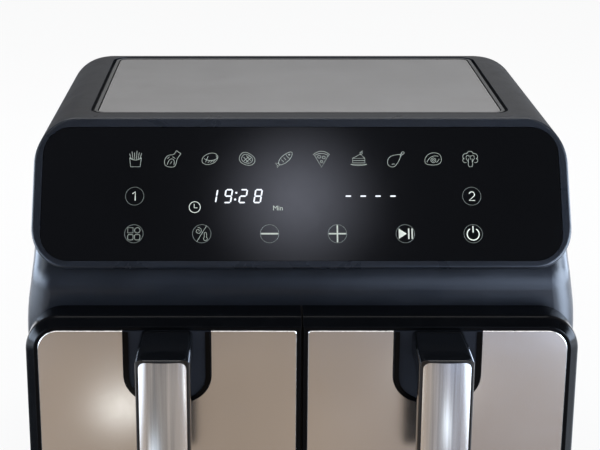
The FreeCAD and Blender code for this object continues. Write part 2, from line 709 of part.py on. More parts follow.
def panel_bezel():
    half = BROW_WIDTH / 2
    slab = panel_prism(rect(-half, half, -BEZEL_THICK, PANEL_LENGTH + BEZEL_THICK), [0] * 4, -BEZEL_THICK, 0)
    outline = rect(-half, half, PANEL_FOOT_Z, HEIGHT)
    radii = [BEZEL_FOOT_R, BEZEL_FOOT_R, TOP_EDGE_R, TOP_EDGE_R]
    front_y = PANEL_FOOT_Y - BEZEL_THICK
    back_y = lean_y(HEIGHT, -BEZEL_THICK) + BEZEL_THICK
    frame = slab.common(prism_y(outline, radii, front_y, back_y))
    normal = panel_point(0, 0, 1) - panel_point(0, 0, 0)
    level = panel_point(0, 0, 0).dot(normal)
    rim = [e for e in frame.Edges if all(abs(v.Point.dot(normal) - level) < TINY for v in e.Vertexes)]
    frame = frame.makeFillet(BEZEL_EDGE_R, rim)
    seat = GLASS_SINK + GLASS_THICK
    frame = frame.cut(panel_prism(*glass_outline(0), -seat, OVER))
    frame = frame.cut(panel_prism(*glass_outline(BEZEL_LEDGE), -BEZEL_THICK - OVER, 0))
    board_out = -seat - BOARD_SETBACK
    ears = []
    for x, down in stud_places():
        ears.append(panel_cylinder(x, down, board_out, -seat, STUD_R))
        reach = down - BEZEL_BORDER if down < PANEL_LENGTH / 2 else down - PANEL_LENGTH + BEZEL_BORDER
        strap = rect(x - STUD_R, x + STUD_R, min(down, down - reach), max(down, down - reach))
        ears.append(panel_prism(strap, [0] * 4, -BEZEL_THICK, -seat))
    return fuse([frame] + ears)


def control_glass():
    return panel_prism(*glass_outline(FIT), -GLASS_SINK - GLASS_THICK, -GLASS_SINK)


def control_board():
    out = -GLASS_SINK - GLASS_THICK - BOARD_SETBACK
    board = panel_prism(*glass_outline(BEZEL_LEDGE + BOARD_MARGIN), out - BOARD_THICK, out)
    back = out - 2 * BOARD_THICK
    return board.cut([panel_cylinder(x, down, back, out + OVER, SCREW_HOLE_R) for x, down in stud_places()])


def display_module():
    seat = GLASS_SINK + GLASS_THICK
    half, tall = DISPLAY_WIDTH / 2, DISPLAY_HEIGHT / 2
    outline = rect(-half, half, MIDDLE_ROW - tall, MIDDLE_ROW + tall)
    return panel_prism(outline, [DISPLAY_R] * 4, -seat - BOARD_SETBACK, -seat)


def touch_contacts():
    rows = [(UPPER_ROW, UPPER_ICONS), (MIDDLE_ROW, MIDDLE_ICONS), (LOWER_ROW, LOWER_ICONS)]
    seat = GLASS_SINK + GLASS_THICK
    solids = []
    for down, count in rows:
        for i in range(count):
            x = -ICON_SPAN + 2 * ICON_SPAN * i / (count - 1)
            solids.append(panel_cylinder(x, down, -seat - BOARD_SETBACK, -seat, CONTACT_R))
    return solids


def panel_screws():
    board_back = -GLASS_SINK - GLASS_THICK - BOARD_SETBACK - BOARD_THICK
    solids = []
    for x, down in stud_places():
        head = panel_cylinder(x, down, board_back - SCREW_HEAD, board_back, SCREW_HEAD_R)
        shank = panel_cylinder(x, down, board_back - SCREW_HEAD / 2, board_back + BOARD_THICK, SCREW_R)
        solids.append(fuse([head, shank]))
    return solids


# Cooking zone, the same on both sides

def cavity_liner(side):
    x, half = side * CAVITY_X, LINER_WIDTH / 2
    outer = box(x - half, x + half, LINER_FRONT, LINER_BACK, CAVITY_BOTTOM, ROOF_Z)
    inner_half = half - SHEET
    inner = box(x - inner_half, x + inner_half, LINER_FRONT - OVER, LINER_BACK - SHEET,
                CAVITY_BOTTOM + SHEET, ROOF_Z - SHEET)
    flange_y = BODY_Y + CASE_WALL
    solids = [outer.cut(inner)]
    lower = (CAVITY_BOTTOM - CAVITY_FLANGE, CAVITY_BOTTOM + SHEET / 2)
    upper = (ROOF_Z - SHEET / 2, ROOF_Z + CAVITY_FLANGE)
    for low, high in (lower, upper):
        solids.append(box(x - half, x + half, flange_y, flange_y + SHEET, low, high))
    spread = half - RIB_INSET
    for rib_x in (x - spread, x + spread):
        solids.append(box(rib_x - RIB_WIDTH / 2, rib_x + RIB_WIDTH / 2,
                          LINER_FRONT + RIB_WIDTH, LINER_BACK - 2 * RIB_WIDTH,
                          CAVITY_BOTTOM + SHEET / 2, BASKET_BOTTOM - FIT))
    exhaust_z = ROOF_Z - EXHAUST_DROP
    exhaust_half = EXHAUST_WIDTH / 2
    tools = [rod_z(x, FAN_Y, ROOF_Z - 2 * SHEET, ROOF_Z + OVER, FAN_OPENING_R)]
    tools.append(rod_y(side * PROBE_X, PROBE_Z, LINER_BACK - 2 * SHEET, LINER_BACK + OVER, PROBE_R + FIT))
    tools.append(box(x - exhaust_half, x + exhaust_half, LINER_BACK - 2 * SHEET, LINER_BACK + OVER,
                     exhaust_z - EXHAUST_HEIGHT, exhaust_z))
    return fuse(solids).cut(tools)


def fan_cover(side):
    x = side * CAVITY_X
    can = rod_z(x, FAN_Y, ROOF_Z, CHAMBER_TOP, CHAMBER_R)
    flange = rod_z(x, FAN_Y, ROOF_Z, ROOF_Z + SHEET, CHAMBER_R + CHAMBER_FLANGE)
    inside = rod_z(x, FAN_Y, ROOF_Z - OVER, CHAMBER_TOP - SHEET, CHAMBER_R - SHEET)
    tools = [inside, rod_z(x, FAN_Y, CHAMBER_TOP - 2 * SHEET, CHAMBER_TOP + OVER, SHAFT_HOLE_R)]
    wall_y = FAN_Y + CHAMBER_R
    for lead in (-HEATER_LEAD_X, HEATER_LEAD_X):
        tools.append(rod_y(x + lead, HEATER_Z, FAN_Y + HEATER_R, wall_y + OVER, HEATER_TUBE_R + FIT))
    return fuse([can, flange]).cut(tools)


def heating_element(side):
    x = side * CAVITY_X
    solids = [Part.makeTorus(HEATER_R, HEATER_TUBE_R, vec(x, FAN_Y, HEATER_Z))]
    start = FAN_Y + math.sqrt(HEATER_R ** 2 - HEATER_LEAD_X ** 2)
    end = FAN_Y + CHAMBER_R + HEATER_LEAD_OUT
    for lead in (-HEATER_LEAD_X, HEATER_LEAD_X):
        solids.append(rod_y(x + lead, HEATER_Z, start, end, HEATER_TUBE_R))
    return fuse(solids)


def heater_grille(side):
    x = side * CAVITY_X
    disc = rod_z(x, FAN_Y, ROOF_Z - 2 * SHEET, ROOF_Z - SHEET, FAN_OPENING_R + GRILLE_LAP)
    tools = []
    rings = int((FAN_OPENING_R - GRILLE_HOLE_R - GRILLE_FIRST_RING) / GRILLE_RING_PITCH) + 1
    for ring in range(rings):
        radius = GRILLE_FIRST_RING + ring * GRILLE_RING_PITCH
        count = int(2 * math.pi * radius / GRILLE_HOLE_PITCH)
        for i in range(count):
            turn = 2 * math.pi * i / count
            hole_x, hole_y = x + radius * math.cos(turn), FAN_Y + radius * math.sin(turn)
            tools.append(rod_z(hole_x, hole_y, ROOF_Z - 3 * SHEET, ROOF_Z, GRILLE_HOLE_R))
    return disc.cut(tools)


def temperature_probe(side):
    x, z = side * PROBE_X, PROBE_Z
    stem = rod_y(x, z, LINER_BACK - PROBE_IN, LINER_BACK + PROBE_OUT, PROBE_R)
    flange = rod_y(x, z, LINER_BACK, LINER_BACK + 2 * SHEET, PROBE_FLANGE_R)
    return fuse([stem, flange])


def motor_bracket(side):
    x, half = side * CAVITY_X, BRACKET_HALF
    solids = [box(x - half, x + half, FAN_Y - half, FAN_Y + half, BRACKET_Z, MOTOR_Z)]
    spread = BRACKET_HALF - LEG_INSET
    for dx in (-spread, spread):
        for dy in (-spread, spread):
            solids.append(rod_z(x + dx, FAN_Y + dy, CHAMBER_TOP, BRACKET_Z + BRACKET_THICK / 2, LEG_R))
    return fuse(solids).cut(rod_z(x, FAN_Y, BRACKET_Z - OVER, MOTOR_Z + OVER, BRACKET_HOLE_R))


def motor(side):
    x = side * CAVITY_X
    can = rod_z(x, FAN_Y, MOTOR_Z, MOTOR_Z + MOTOR_HEIGHT, MOTOR_R)
    boss = rod_z(x, FAN_Y, MOTOR_Z + MOTOR_HEIGHT / 2, MOTOR_TOP, MOTOR_BOSS_R)
    return fuse([can, boss]).cut(rod_z(x, FAN_Y, MOTOR_Z - OVER, MOTOR_TOP + OVER, SHAFT_R + SHAFT_FIT))


def fan_shaft(side):
    return rod_z(side * CAVITY_X, FAN_Y, HOT_FAN_LOW, MOTOR_TOP + SHAFT_R, SHAFT_R)


def impeller(side, radius, disc_z, blade_z, hub_z0, hub_z1):
    """Disc with straight blades on one side of it, and a hub on the shaft."""
    x = side * CAVITY_X
    solids = [rod_z(x, FAN_Y, disc_z, disc_z + FAN_DISC, radius), rod_z(x, FAN_Y, hub_z0, hub_z1, FAN_HUB_R)]
    blade_low, blade_high = min(disc_z + FAN_DISC / 2, blade_z), max(disc_z + FAN_DISC / 2, blade_z)
    for i in range(FAN_BLADES):
        blade = box(x + FAN_HUB_R / 2, x + radius - FAN_DISC, FAN_Y - FAN_DISC / 2, FAN_Y + FAN_DISC / 2,
                    blade_low, blade_high)
        blade.rotate(vec(x, FAN_Y, 0), vec(0, 0, 1), 360.0 * i / FAN_BLADES)
        solids.append(blade)
    return fuse(solids).cut(rod_z(x, FAN_Y, hub_z0 - OVER, hub_z1 + OVER, SHAFT_R + SHAFT_FIT))


def hot_impeller(side):
    disc_z = HOT_FAN_TOP - FAN_DISC
    return impeller(side, HOT_FAN_R, disc_z, HOT_FAN_LOW, HOT_FAN_LOW, HOT_FAN_TOP + FAN_DISC)


def cooling_impeller(side):
    disc_z = CHAMBER_TOP + COOL_FAN_RISE
    blade_z = disc_z + COOL_FAN_BLADE
    return impeller(side, COOL_FAN_R, disc_z, blade_z, disc_z, blade_z + FAN_DISC)


def drawer_switch(side):
    x = side * SWITCH_X
    front = BODY_Y + CASE_WALL
    body = box(x - SWITCH_WIDTH / 2, x + SWITCH_WIDTH / 2, front, front + SWITCH_DEPTH,
               SWITCH_Z - SWITCH_HEIGHT / 2, SWITCH_Z + SWITCH_HEIGHT / 2)
    pocket_end = PLUNGER_Y + PLUNGER_LENGTH + PLUNGER_TRAVEL + FIT
    return body.cut(rod_y(x, SWITCH_Z, front - OVER, pocket_end, PLUNGER_R + PLUNGER_FIT))


def switch_plunger(side):
    x = side * SWITCH_X
    return rod_y(x, SWITCH_Z, PLUNGER_Y, PLUNGER_Y + PLUNGER_LENGTH, PLUNGER_R)


# Drawers, the same on both sides

def front_outline(side, inset):
    inner, outer = side * (CENTRE_GAP / 2 + inset), side * (FRONT_OUTER_X - inset)
    points = [(inner, FRONT_BOTTOM + inset), (outer, FRONT_BOTTOM + inset)]
    points += [(outer, FRONT_TOP - inset), (inner, FRONT_TOP - inset)]
    return points, [0, FRONT_FOOT_R - inset, FRONT_OUTER_R - inset, 0]


def face_outline(side):
    """Flat face of a drawer front, a lip wider than its steel plate and up to the edge at the middle."""
    inner, outer = side * CENTRE_GAP / 2, side * (FRONT_OUTER_X - PLATE_OUTER + FACE_LIP)
    low, high = FRONT_BOTTOM + PLATE_FOOT - FACE_LIP, FRONT_TOP - PLATE_TOP_MARGIN + FACE_LIP
    points = [(inner, low), (outer, low), (outer, high), (inner, high)]
    return points, [0, PLATE_FOOT_R + FACE_LIP, PLATE_OUTER_R + FACE_LIP, 0]


def front_block(side):
    """Drawer front whose outer edges roll off from the flat face to the full outline."""
    edge_y = FACE_Y + FRONT_ROLL
    face = rounded_face(*face_outline(side), lambda x, z: vec(x, FACE_Y, z))
    full = rounded_face(*front_outline(side, 0), lambda x, z: vec(x, edge_y, z))
    rolled = Part.makeLoft([face.OuterWire, full.OuterWire], True, True)
    block = fuse([rolled, prism_y(*front_outline(side, 0), edge_y, FRONT_BACK_Y)])
    inner_x = side * CENTRE_GAP / 2
    bend = [e for e in flat_edges(block, "Y", edge_y) if abs(e.CenterOfMass.x - inner_x) > TINY]
    block = block.makeFillet(FRONT_ROLL_R, bend)
    return block.makeFillet(FRONT_EDGE_R, flat_edges(block, "Y", FACE_Y))


def plate_outline(side, inset):
    inner, outer = side * (CENTRE_GAP / 2 + PLATE_INNER + inset), side * (FRONT_OUTER_X - PLATE_OUTER - inset)
    low, high = FRONT_BOTTOM + PLATE_FOOT + inset, FRONT_TOP - PLATE_TOP_MARGIN - inset
    points = [(inner, low), (outer, low), (outer, high), (inner, high)]
    radii = [PLATE_INNER_R, PLATE_FOOT_R, PLATE_OUTER_R, PLATE_INNER_R]
    return points, [radius - inset for radius in radii]


def handle_x(side):
    """Middle of a drawer's steel plate, where its handle stands."""
    return side * (CENTRE_GAP / 2 + PLATE_INNER + FRONT_OUTER_X - PLATE_OUTER) / 2


def escutcheon_outline(side, inset, above):
    """U-shaped outline, square at its top, which lies above the steel plate's top edge by a distance."""
    x, half = handle_x(side), ESCUTCHEON_WIDTH / 2 - inset
    high = FRONT_TOP - PLATE_TOP_MARGIN
    points = rect(x - half, x + half, high - ESCUTCHEON_HEIGHT + inset, high + above)
    return points, [ESCUTCHEON_R - inset, ESCUTCHEON_R - inset, 0, 0]


def basket_screw_places(side):
    x, spread = side * CAVITY_X, BASKET_WIDTH / 2 - BASKET_SCREW_INSET
    low = BASKET_BOTTOM + BASKET_SCREW_RISE
    return [(x + dx, z) for dx in (-spread, spread) for z in (low, low + BASKET_SCREW_PITCH)]


def handle_screw_places(side):
    high = HANDLE_TOP - HANDLE_SCREW_DROP
    return [(handle_x(side), high), (handle_x(side), high - HANDLE_SCREW_PITCH)]


def front_shell(side):
    wall_y, rolled_y = FACE_Y + FRONT_WALL, FACE_Y + FRONT_ROLL + SHELL_WALL
    rolled_wall = PLATE_OUTER - FACE_LIP + SHELL_WALL
    hollow = prism_y(*front_outline(side, SHELL_WALL), rolled_y, FRONT_BACK_Y + OVER)
    front_hollow = prism_y(*front_outline(side, rolled_wall), wall_y, rolled_y + OVER)
    recess = prism_y(*plate_outline(side, -PLATE_GAP), FACE_Y - OVER, FACE_Y + PLATE_SINK)
    shell = front_block(side).cut([hollow, front_hollow, recess])
    posts = []
    inner, outer = CENTRE_GAP / 2 + POST_INSET, FRONT_OUTER_X - POST_INSET
    for x in (side * inner, side * outer):
        for z in (FRONT_BOTTOM + POST_INSET, FRONT_TOP - POST_INSET):
            posts.append(rod_y(x, z, wall_y - SHELL_WALL / 2, FRONT_BACK_Y - COVER_THICK, POST_R))
    holes = [rod_y(x, z, FACE_Y - OVER, wall_y + OVER, SCREW_HOLE_R) for x, z in handle_screw_places(side)]
    return fuse([shell] + posts).cut(holes)


def front_back_cover(side):
    cover = prism_y(*front_outline(side, SHELL_WALL + FIT), FRONT_BACK_Y - COVER_THICK, FRONT_BACK_Y)
    spacers, holes = [], []
    for x, z in basket_screw_places(side):
        spacers.append(rod_y(x, z, FRONT_BACK_Y - COVER_THICK / 2, BASKET_FRONT, POST_R))
        holes.append(rod_y(x, z, FRONT_BACK_Y - COVER_THICK - OVER, BASKET_FRONT + OVER, SCREW_HOLE_R))
    return fuse([cover] + spacers).cut(holes)


def front_plate(side):
    front = FACE_Y - PLATE_PROUD
    plate = prism_y(*plate_outline(side, 0), front, FACE_Y + PLATE_SINK)
    notch = prism_y(*escutcheon_outline(side, -PLATE_GAP, OVER), front - OVER, FACE_Y + PLATE_SINK + OVER)
    plate = plate.cut(notch)
    return plate.makeChamfer(PLATE_BEVEL, flat_edges(plate, "Y", front))


def handle_escutcheon(side):
    front, back = FACE_Y - ESCUTCHEON_PROUD, FACE_Y + PLATE_SINK
    plate = prism_y(*escutcheon_outline(side, 0, 0), front, back)
    floor_outline = escutcheon_outline(side, ESCUTCHEON_BORDER, OVER)
    pocket = prism_y(*floor_outline, front - OVER, FACE_Y - ESCUTCHEON_FLOOR)
    holes = [rod_y(x, z, front - OVER, back + OVER, SCREW_HOLE_R) for x, z in handle_screw_places(side)]
    return plate.cut([pocket] + holes)


def grip_bow(side, out):
    """Upright cylinder whose front is the grip's bowed face, moved out."""
    radius = ((HANDLE_WIDTH / 2) ** 2 + GRIP_BULGE ** 2) / (2 * GRIP_BULGE)
    axis_y = FACE_Y - HANDLE_REACH + INLAY_PROUD + radius
    low = HANDLE_TOP - GRIP_LENGTH - OVER
    return rod_z(handle_x(side), axis_y, low, HANDLE_TOP + OVER, radius + out)


def inlay_block(side, gap):
    x, half = handle_x(side), INLAY_WIDTH / 2 + gap
    low = HANDLE_TOP - GRIP_LENGTH + GRIP_END_R + INLAY_MARGIN - gap
    outline = rect(x - half, x + half, low, HANDLE_TOP - INLAY_MARGIN + gap)
    front = FACE_Y - HANDLE_REACH - OVER
    return prism_y(outline, [INLAY_R + gap] * 4, front, front + OVER + GRIP_THICK / 2)


def grip(side):
    """Upright bar of the handle, rounded as seen from above, from the side and from the front."""
    x, half = handle_x(side), HANDLE_WIDTH / 2
    front = FACE_Y - HANDLE_REACH + INLAY_PROUD
    back = front + GRIP_THICK
    low = HANDLE_TOP - GRIP_LENGTH
    plan, plan_radii = rect(x - half, x + half, front, back), [GRIP_FRONT_R] * 2 + [GRIP_BACK_R] * 2
    profile, profile_radii = rect(front, back, low, HANDLE_TOP), [GRIP_END_R, GRIP_END_R, 0, GRIP_TOP_R]
    face, face_radii = rect(x - half, x + half, low, HANDLE_TOP), [GRIP_END_R] * 2 + [HANDLE_EDGE_R] * 2
    bar = prism_z(plan, plan_radii, low, HANDLE_TOP).common(grip_bow(side, 0))
    bar = bar.common(prism_x(profile, profile_radii, x - half, x + half))
    return bar.common(prism_y(face, face_radii, front, back))


def handle_arm(side):
    """Arm from the drawer to the grip, with rounded edges all along."""
    x, half = handle_x(side), HANDLE_WIDTH / 2
    outline = rect(x - half, x + half, HANDLE_TOP - ARM_HEIGHT, HANDLE_TOP)
    end_y = FACE_Y - HANDLE_REACH + GRIP_THICK / 2
    return prism_y(outline, [HANDLE_EDGE_R] * 4, end_y, FACE_Y - ESCUTCHEON_FLOOR)


def arm_cove(side):
    """Hollow rounding between the arm's underside and the back of the grip, almost as wide as both."""
    x, half = handle_x(side), HANDLE_WIDTH / 2 - ARM_COVE_INSET
    back = FACE_Y - HANDLE_REACH + INLAY_PROUD + GRIP_THICK
    under = HANDLE_TOP - ARM_HEIGHT
    low, high = under - ARM_COVE_R, under + HANDLE_EDGE_R
    block = box(x - half, x + half, back - GRIP_BACK_R, back + ARM_COVE_R, low, high)
    start = vec(x - half, back + ARM_COVE_R, low)
    return block.cut(Part.makeCylinder(ARM_COVE_R, 2 * half, start, vec(1, 0, 0)))


def handle(side):
    body = fuse([grip(side), handle_arm(side), arm_cove(side)])
    foot_y = FACE_Y - ESCUTCHEON_FLOOR
    tools = [inlay_block(side, PLATE_GAP).cut(grip_bow(side, -INLAY_SINK))]
    for x, z in handle_screw_places(side):
        tools.append(rod_y(x, z, FACE_Y - SCREW_LENGTH + FRONT_WALL, foot_y + OVER, SCREW_HOLE_R))
    return body.cut(tools)


def handle_inlay(side):
    return inlay_block(side, 0).common(grip_bow(side, INLAY_PROUD)).cut(grip_bow(side, -INLAY_SINK))


def drawer_screws(side):
    solids = []
    for x, z in basket_screw_places(side):
        head_y = FRONT_BACK_Y - COVER_THICK
        head = rod_y(x, z, head_y - SCREW_HEAD, head_y, SCREW_HEAD_R)
        solids.append(fuse([head, rod_y(x, z, head_y - SCREW_HEAD / 2, head_y + SHORT_SCREW, SCREW_R)]))
    for x, z in handle_screw_places(side):
        head_y = FACE_Y + FRONT_WALL
        tip_y = head_y + SCREW_HEAD - SCREW_LENGTH
        head = rod_y(x, z, head_y, head_y + SCREW_HEAD, SCREW_HEAD_R)
        solids.append(fuse([head, rod_y(x, z, tip_y, head_y + SCREW_HEAD / 2, SCREW_R)]))
    return solids


def basket_block(side, inset, low, high):
    x, half = side * CAVITY_X, BASKET_WIDTH / 2 - inset
    outline = rect(x - half, x + half, BASKET_FRONT + inset, BASKET_BACK - inset)
    return prism_z(outline, [BASKET_R - inset] * 4, low, high)


def basket(side):
    outer = basket_block(side, 0, BASKET_BOTTOM, BASKET_RIM)
    outer = outer.makeFillet(BASKET_FOOT_R, flat_edges(outer, "Z", BASKET_BOTTOM))
    rim = basket_block(side, -RIM_WIDTH, BASKET_RIM - RIM_HEIGHT, BASKET_RIM)
    inner = basket_block(side, SHEET, BASKET_BOTTOM + SHEET, BASKET_RIM + OVER)
    inner = inner.makeFillet(BASKET_FOOT_R - SHEET, flat_edges(inner, "Z", BASKET_BOTTOM + SHEET))
    tools = [inner]
    for x, z in basket_screw_places(side):
        tools.append(rod_y(x, z, BASKET_FRONT - OVER, BASKET_FRONT + 2 * SHEET, SCREW_HOLE_R))
    return fuse([outer, rim]).cut(tools)


def bumper_places(side):
    x = side * CAVITY_X
    inset = SHEET + CRISPER_GAP + BUMPER_INSET
    dx = BASKET_WIDTH / 2 - inset
    return [(x + sx * dx, y) for sx in (-1, 1) for y in (BASKET_FRONT + inset, BASKET_BACK - inset)]


def crisper_plate(side):
    x = side * CAVITY_X
    plate = basket_block(side, SHEET + CRISPER_GAP, CRISPER_Z, CRISPER_Z + CRISPER_THICK)
    middle = (BASKET_FRONT + BASKET_BACK) / 2
    half_x = BASKET_WIDTH / 2 - SHEET - CRISPER_GAP - CRISPER_EDGE
    half_y = (BASKET_BACK - BASKET_FRONT) / 2 - SHEET - CRISPER_GAP - CRISPER_EDGE
    columns, rows = int(half_x // CRISPER_PITCH), int(half_y // CRISPER_PITCH)
    low, high = CRISPER_Z - OVER, CRISPER_Z + CRISPER_THICK + OVER
    tools = [rod_z(x, middle, low, high, FINGER_HOLE_R)]
    for bumper_x, bumper_y in bumper_places(side):
        tools.append(rod_z(bumper_x, bumper_y, low, high, BUMPER_NECK_R + SCREW_FIT))
    for i in range(-columns, columns + 1):
        for j in range(-rows, rows + 1):
            hole_x, hole_y = x + i * CRISPER_PITCH, middle + j * CRISPER_PITCH
            clear_of_finger = math.hypot(hole_x - x, hole_y - middle) > FINGER_HOLE_R + 2 * CRISPER_HOLE_R
            clear_of_bumpers = all(
                math.hypot(hole_x - bx, hole_y - by) > BUMPER_R + 2 * CRISPER_HOLE_R
                for bx, by in bumper_places(side)
            )
            if clear_of_finger and clear_of_bumpers:
                tools.append(rod_z(hole_x, hole_y, low, high, CRISPER_HOLE_R))
    return plate.cut(tools)


def crisper_feet(side):
    solids = []
    top = CRISPER_Z + CRISPER_THICK
    for x, y in bumper_places(side):
        leg = rod_z(x, y, BASKET_BOTTOM + SHEET + FIT, CRISPER_Z, BUMPER_R)
        neck = rod_z(x, y, CRISPER_Z - OVER, top + OVER, BUMPER_NECK_R)
        solids.append(fuse([leg, neck, rod_z(x, y, top, top + BUMPER_HEAD, BUMPER_HEAD_R)]))
    return solids


def write(node, shape):
    """Save one node, which is one solid or a group of separate ones."""
    if isinstance(shape, list):
        shape = Part.makeCompound(shape)
    shape.exportStep("parts/" + node + ".step")
    size = shape.BoundBox
    measure = f"{size.XLength:.1f} x {size.YLength:.1f} x {size.ZLength:.1f}"
    state = "valid" if shape.isValid() else "NOT VALID"
    print(f"{node}: {len(shape.Solids)} solids, {measure}, {state}")


SINGLE_PIECES = [
    main_housing, top_tray, top_plate, base_tray, feet, case_screws, rear_cover, power_board, cord_gland,
    panel_bezel, control_glass, control_board, display_module, touch_contacts, panel_screws,
]
SIDE_PIECES = [
    cavity_liner, fan_cover, heating_element, heater_grille, temperature_probe, motor_bracket, motor,
    fan_shaft, hot_impeller, cooling_impeller, drawer_switch, switch_plunger,
    basket, front_shell, front_back_cover, front_plate, handle_escutcheon, handle, handle_inlay,
    drawer_screws, crisper_plate, crisper_feet,
]

os.makedirs("parts", exist_ok=True)
for piece in SINGLE_PIECES:
    write(piece.__name__, piece())
for name, side in SIDES.items():
    for piece in SIDE_PIECES:
        write(name + "_" + piece.__name__, piece(side))
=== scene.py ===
# %% [markdown]
# # A dual-drawer air fryer
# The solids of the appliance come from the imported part, in metres, with the drawers towards -Y and the
# floor at Z = 0. This lesson gives them their looks: the camera of the photograph, a soft studio, a finish
# for every piece, and the thin printed and lit marks behind the control glass.

# %% Load the frame
import json
import math

import bpy
from mathutils import Matrix, Vector


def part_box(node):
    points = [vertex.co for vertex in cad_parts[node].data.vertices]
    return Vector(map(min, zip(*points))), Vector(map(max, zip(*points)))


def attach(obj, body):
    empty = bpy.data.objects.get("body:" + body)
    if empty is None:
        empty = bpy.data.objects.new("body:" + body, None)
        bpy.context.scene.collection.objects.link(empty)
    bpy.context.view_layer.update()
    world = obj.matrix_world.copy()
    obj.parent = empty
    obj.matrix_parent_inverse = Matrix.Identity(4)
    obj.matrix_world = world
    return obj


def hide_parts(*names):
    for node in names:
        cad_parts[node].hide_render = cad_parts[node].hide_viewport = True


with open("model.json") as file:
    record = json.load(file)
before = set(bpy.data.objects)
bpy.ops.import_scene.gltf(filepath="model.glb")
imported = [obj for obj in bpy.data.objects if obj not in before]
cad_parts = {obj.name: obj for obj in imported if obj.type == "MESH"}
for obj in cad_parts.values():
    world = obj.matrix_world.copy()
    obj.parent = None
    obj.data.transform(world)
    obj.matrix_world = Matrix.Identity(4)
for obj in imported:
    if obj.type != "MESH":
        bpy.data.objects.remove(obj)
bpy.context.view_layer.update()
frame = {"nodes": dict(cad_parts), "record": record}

MM = 0.001

# %% [markdown]
# ## A clean selection
# An operator acts on all that is selected, and the loaded solids are. So the selection is cleared before each
# new object, or set to the pieces that the next operator is for.

# %% Selecting
def pick(*pieces):
    """Selects these pieces alone, with the first as the active one, or nothing."""
    bpy.ops.object.select_all(action="DESELECT")
    for piece in pieces:
        piece.select_set(True)
    if pieces:
        bpy.context.view_layer.objects.active = pieces[0]


pick()
print("selected:", len(bpy.context.selected_objects))

# %% [markdown]
# ## The camera
# The photograph looks slightly down on the leaning panel, and its edges run almost parallel, so it was
# taken with a long lens. It was cut out of a larger picture: the optical axis passes left of the middle and
# above it. Shifting the lens both ways gives that without turning the camera, so upright lines stay nearly
# upright.

# %% Camera
IMAGE_WIDTH = 600
IMAGE_HEIGHT = 450
FOCAL_PIXELS = 1406
AXIS_PIXEL = (257.5, 134)
CAMERA_PLACE = Vector((-30.7, -1024, 558)) * MM
CAMERA_TILT = math.radians(15.27)
SENSOR = 36

pick()
bpy.ops.object.camera_add(location=CAMERA_PLACE, rotation=(math.pi / 2 - CAMERA_TILT, 0, 0))
camera = bpy.context.object
camera.name = "photo_camera"
camera.data.sensor_width = SENSOR
camera.data.lens = SENSOR * FOCAL_PIXELS / IMAGE_WIDTH
camera.data.shift_x = (IMAGE_WIDTH / 2 - AXIS_PIXEL[0]) / IMAGE_WIDTH
camera.data.shift_y = (AXIS_PIXEL[1] - IMAGE_HEIGHT / 2) / IMAGE_WIDTH
bpy.context.scene.camera = camera
bpy.context.scene.view_settings.view_transform = "Standard"
shifts = [round(camera.data.shift_x, 4), round(camera.data.shift_y, 4)]
print("lens", round(camera.data.lens, 1), "mm, shifts", shifts)

# %% [markdown]
# ## A way to write shader nodes
# A finish is a tree of nodes. In the editor one would add a node, type its values and drag the wires; here a
# single helper does all three, so that each finish below reads as a short list of what it is made of.

# %% Node helpers
MIX_FACTOR, MIX_LOW, MIX_HIGH, MIX_RESULT = 0, 6, 7, 2


def feed(tree, socket, value):
    """Gives a socket a wire or a value; a colour is written as three numbers."""
    if isinstance(value, bpy.types.NodeSocket):
        tree.links.new(value, socket)
    elif socket.type == "RGBA":
        socket.default_value = (*value, 1)
    else:
        socket.default_value = value


def put(tree, kind, sockets=None, **settings):
    """Adds a node, sets its options, and feeds each socket that is named or numbered."""
    made = tree.nodes.new("ShaderNode" + kind)
    for name, value in settings.items():
        setattr(made, name, value)
    for name, value in (sockets or {}).items():
        feed(tree, made.inputs[name], value)
    return made


def maths(tree, operation, first, second):
    """One sum or product of two masks or numbers."""
    return put(tree, "Math", {0: first, 1: second}, operation=operation).outputs["Value"]


def spread(tree, value, low, high, start=0.0, stop=1.0):
    """A value that runs from low to high while the mask runs from start to stop."""
    sockets = {"Value": value, "From Min": start, "From Max": stop, "To Min": low, "To Max": high}
    return put(tree, "MapRange", sockets).outputs["Result"]


def mix(tree, mask, low, high, share=None):
    """A colour that goes from low to high with the mask, or only a share of that way."""
    factor = mask if share is None else maths(tree, "MULTIPLY", mask, share)
    sockets = {MIX_FACTOR: factor, MIX_LOW: low, MIX_HIGH: high}
    return put(tree, "Mix", sockets, data_type="RGBA").outputs[MIX_RESULT]


print("node helpers ready")

# %% [markdown]
# ## Effects that several finishes share
# Moulded plastic has a fine spark-eroded grain and slow changes of tone. Rolled and brushed steel has
# hairlines. Hands leave faint marks, dust settles on what faces up, and a mask finds the edges, where the
# finishes paint a paler colour as a highlight. Each of these is one node group, so that every finish can set
# its own scale.

# %% An empty group and a cloudy mask
def shader_group(name, inputs, outputs):
    """An empty node group; an input without a number is a vector."""
    tree = bpy.data.node_groups.new(name, "ShaderNodeTree")
    for socket, value in inputs.items():
        kind = "NodeSocketVector" if value is None else "NodeSocketFloat"
        made = tree.interface.new_socket(socket, in_out="INPUT", socket_type=kind)
        if value is not None:
            made.default_value = value
    for socket in outputs:
        tree.interface.new_socket(socket, in_out="OUTPUT", socket_type="NodeSocketFloat")
    ends = tree.nodes.new("NodeGroupInput"), tree.nodes.new("NodeGroupOutput")
    return tree, ends[0].outputs, ends[1].inputs


def noise(tree, place, scale, detail=2.0, roughness=0.5, distortion=0.0):
    """A cloudy mask."""
    sockets = {"Vector": place, "Scale": scale, "Detail": detail, "Roughness": roughness,
               "Distortion": distortion}
    return put(tree, "TexNoise", sockets).outputs["Fac"]


print("helpers for groups ready")

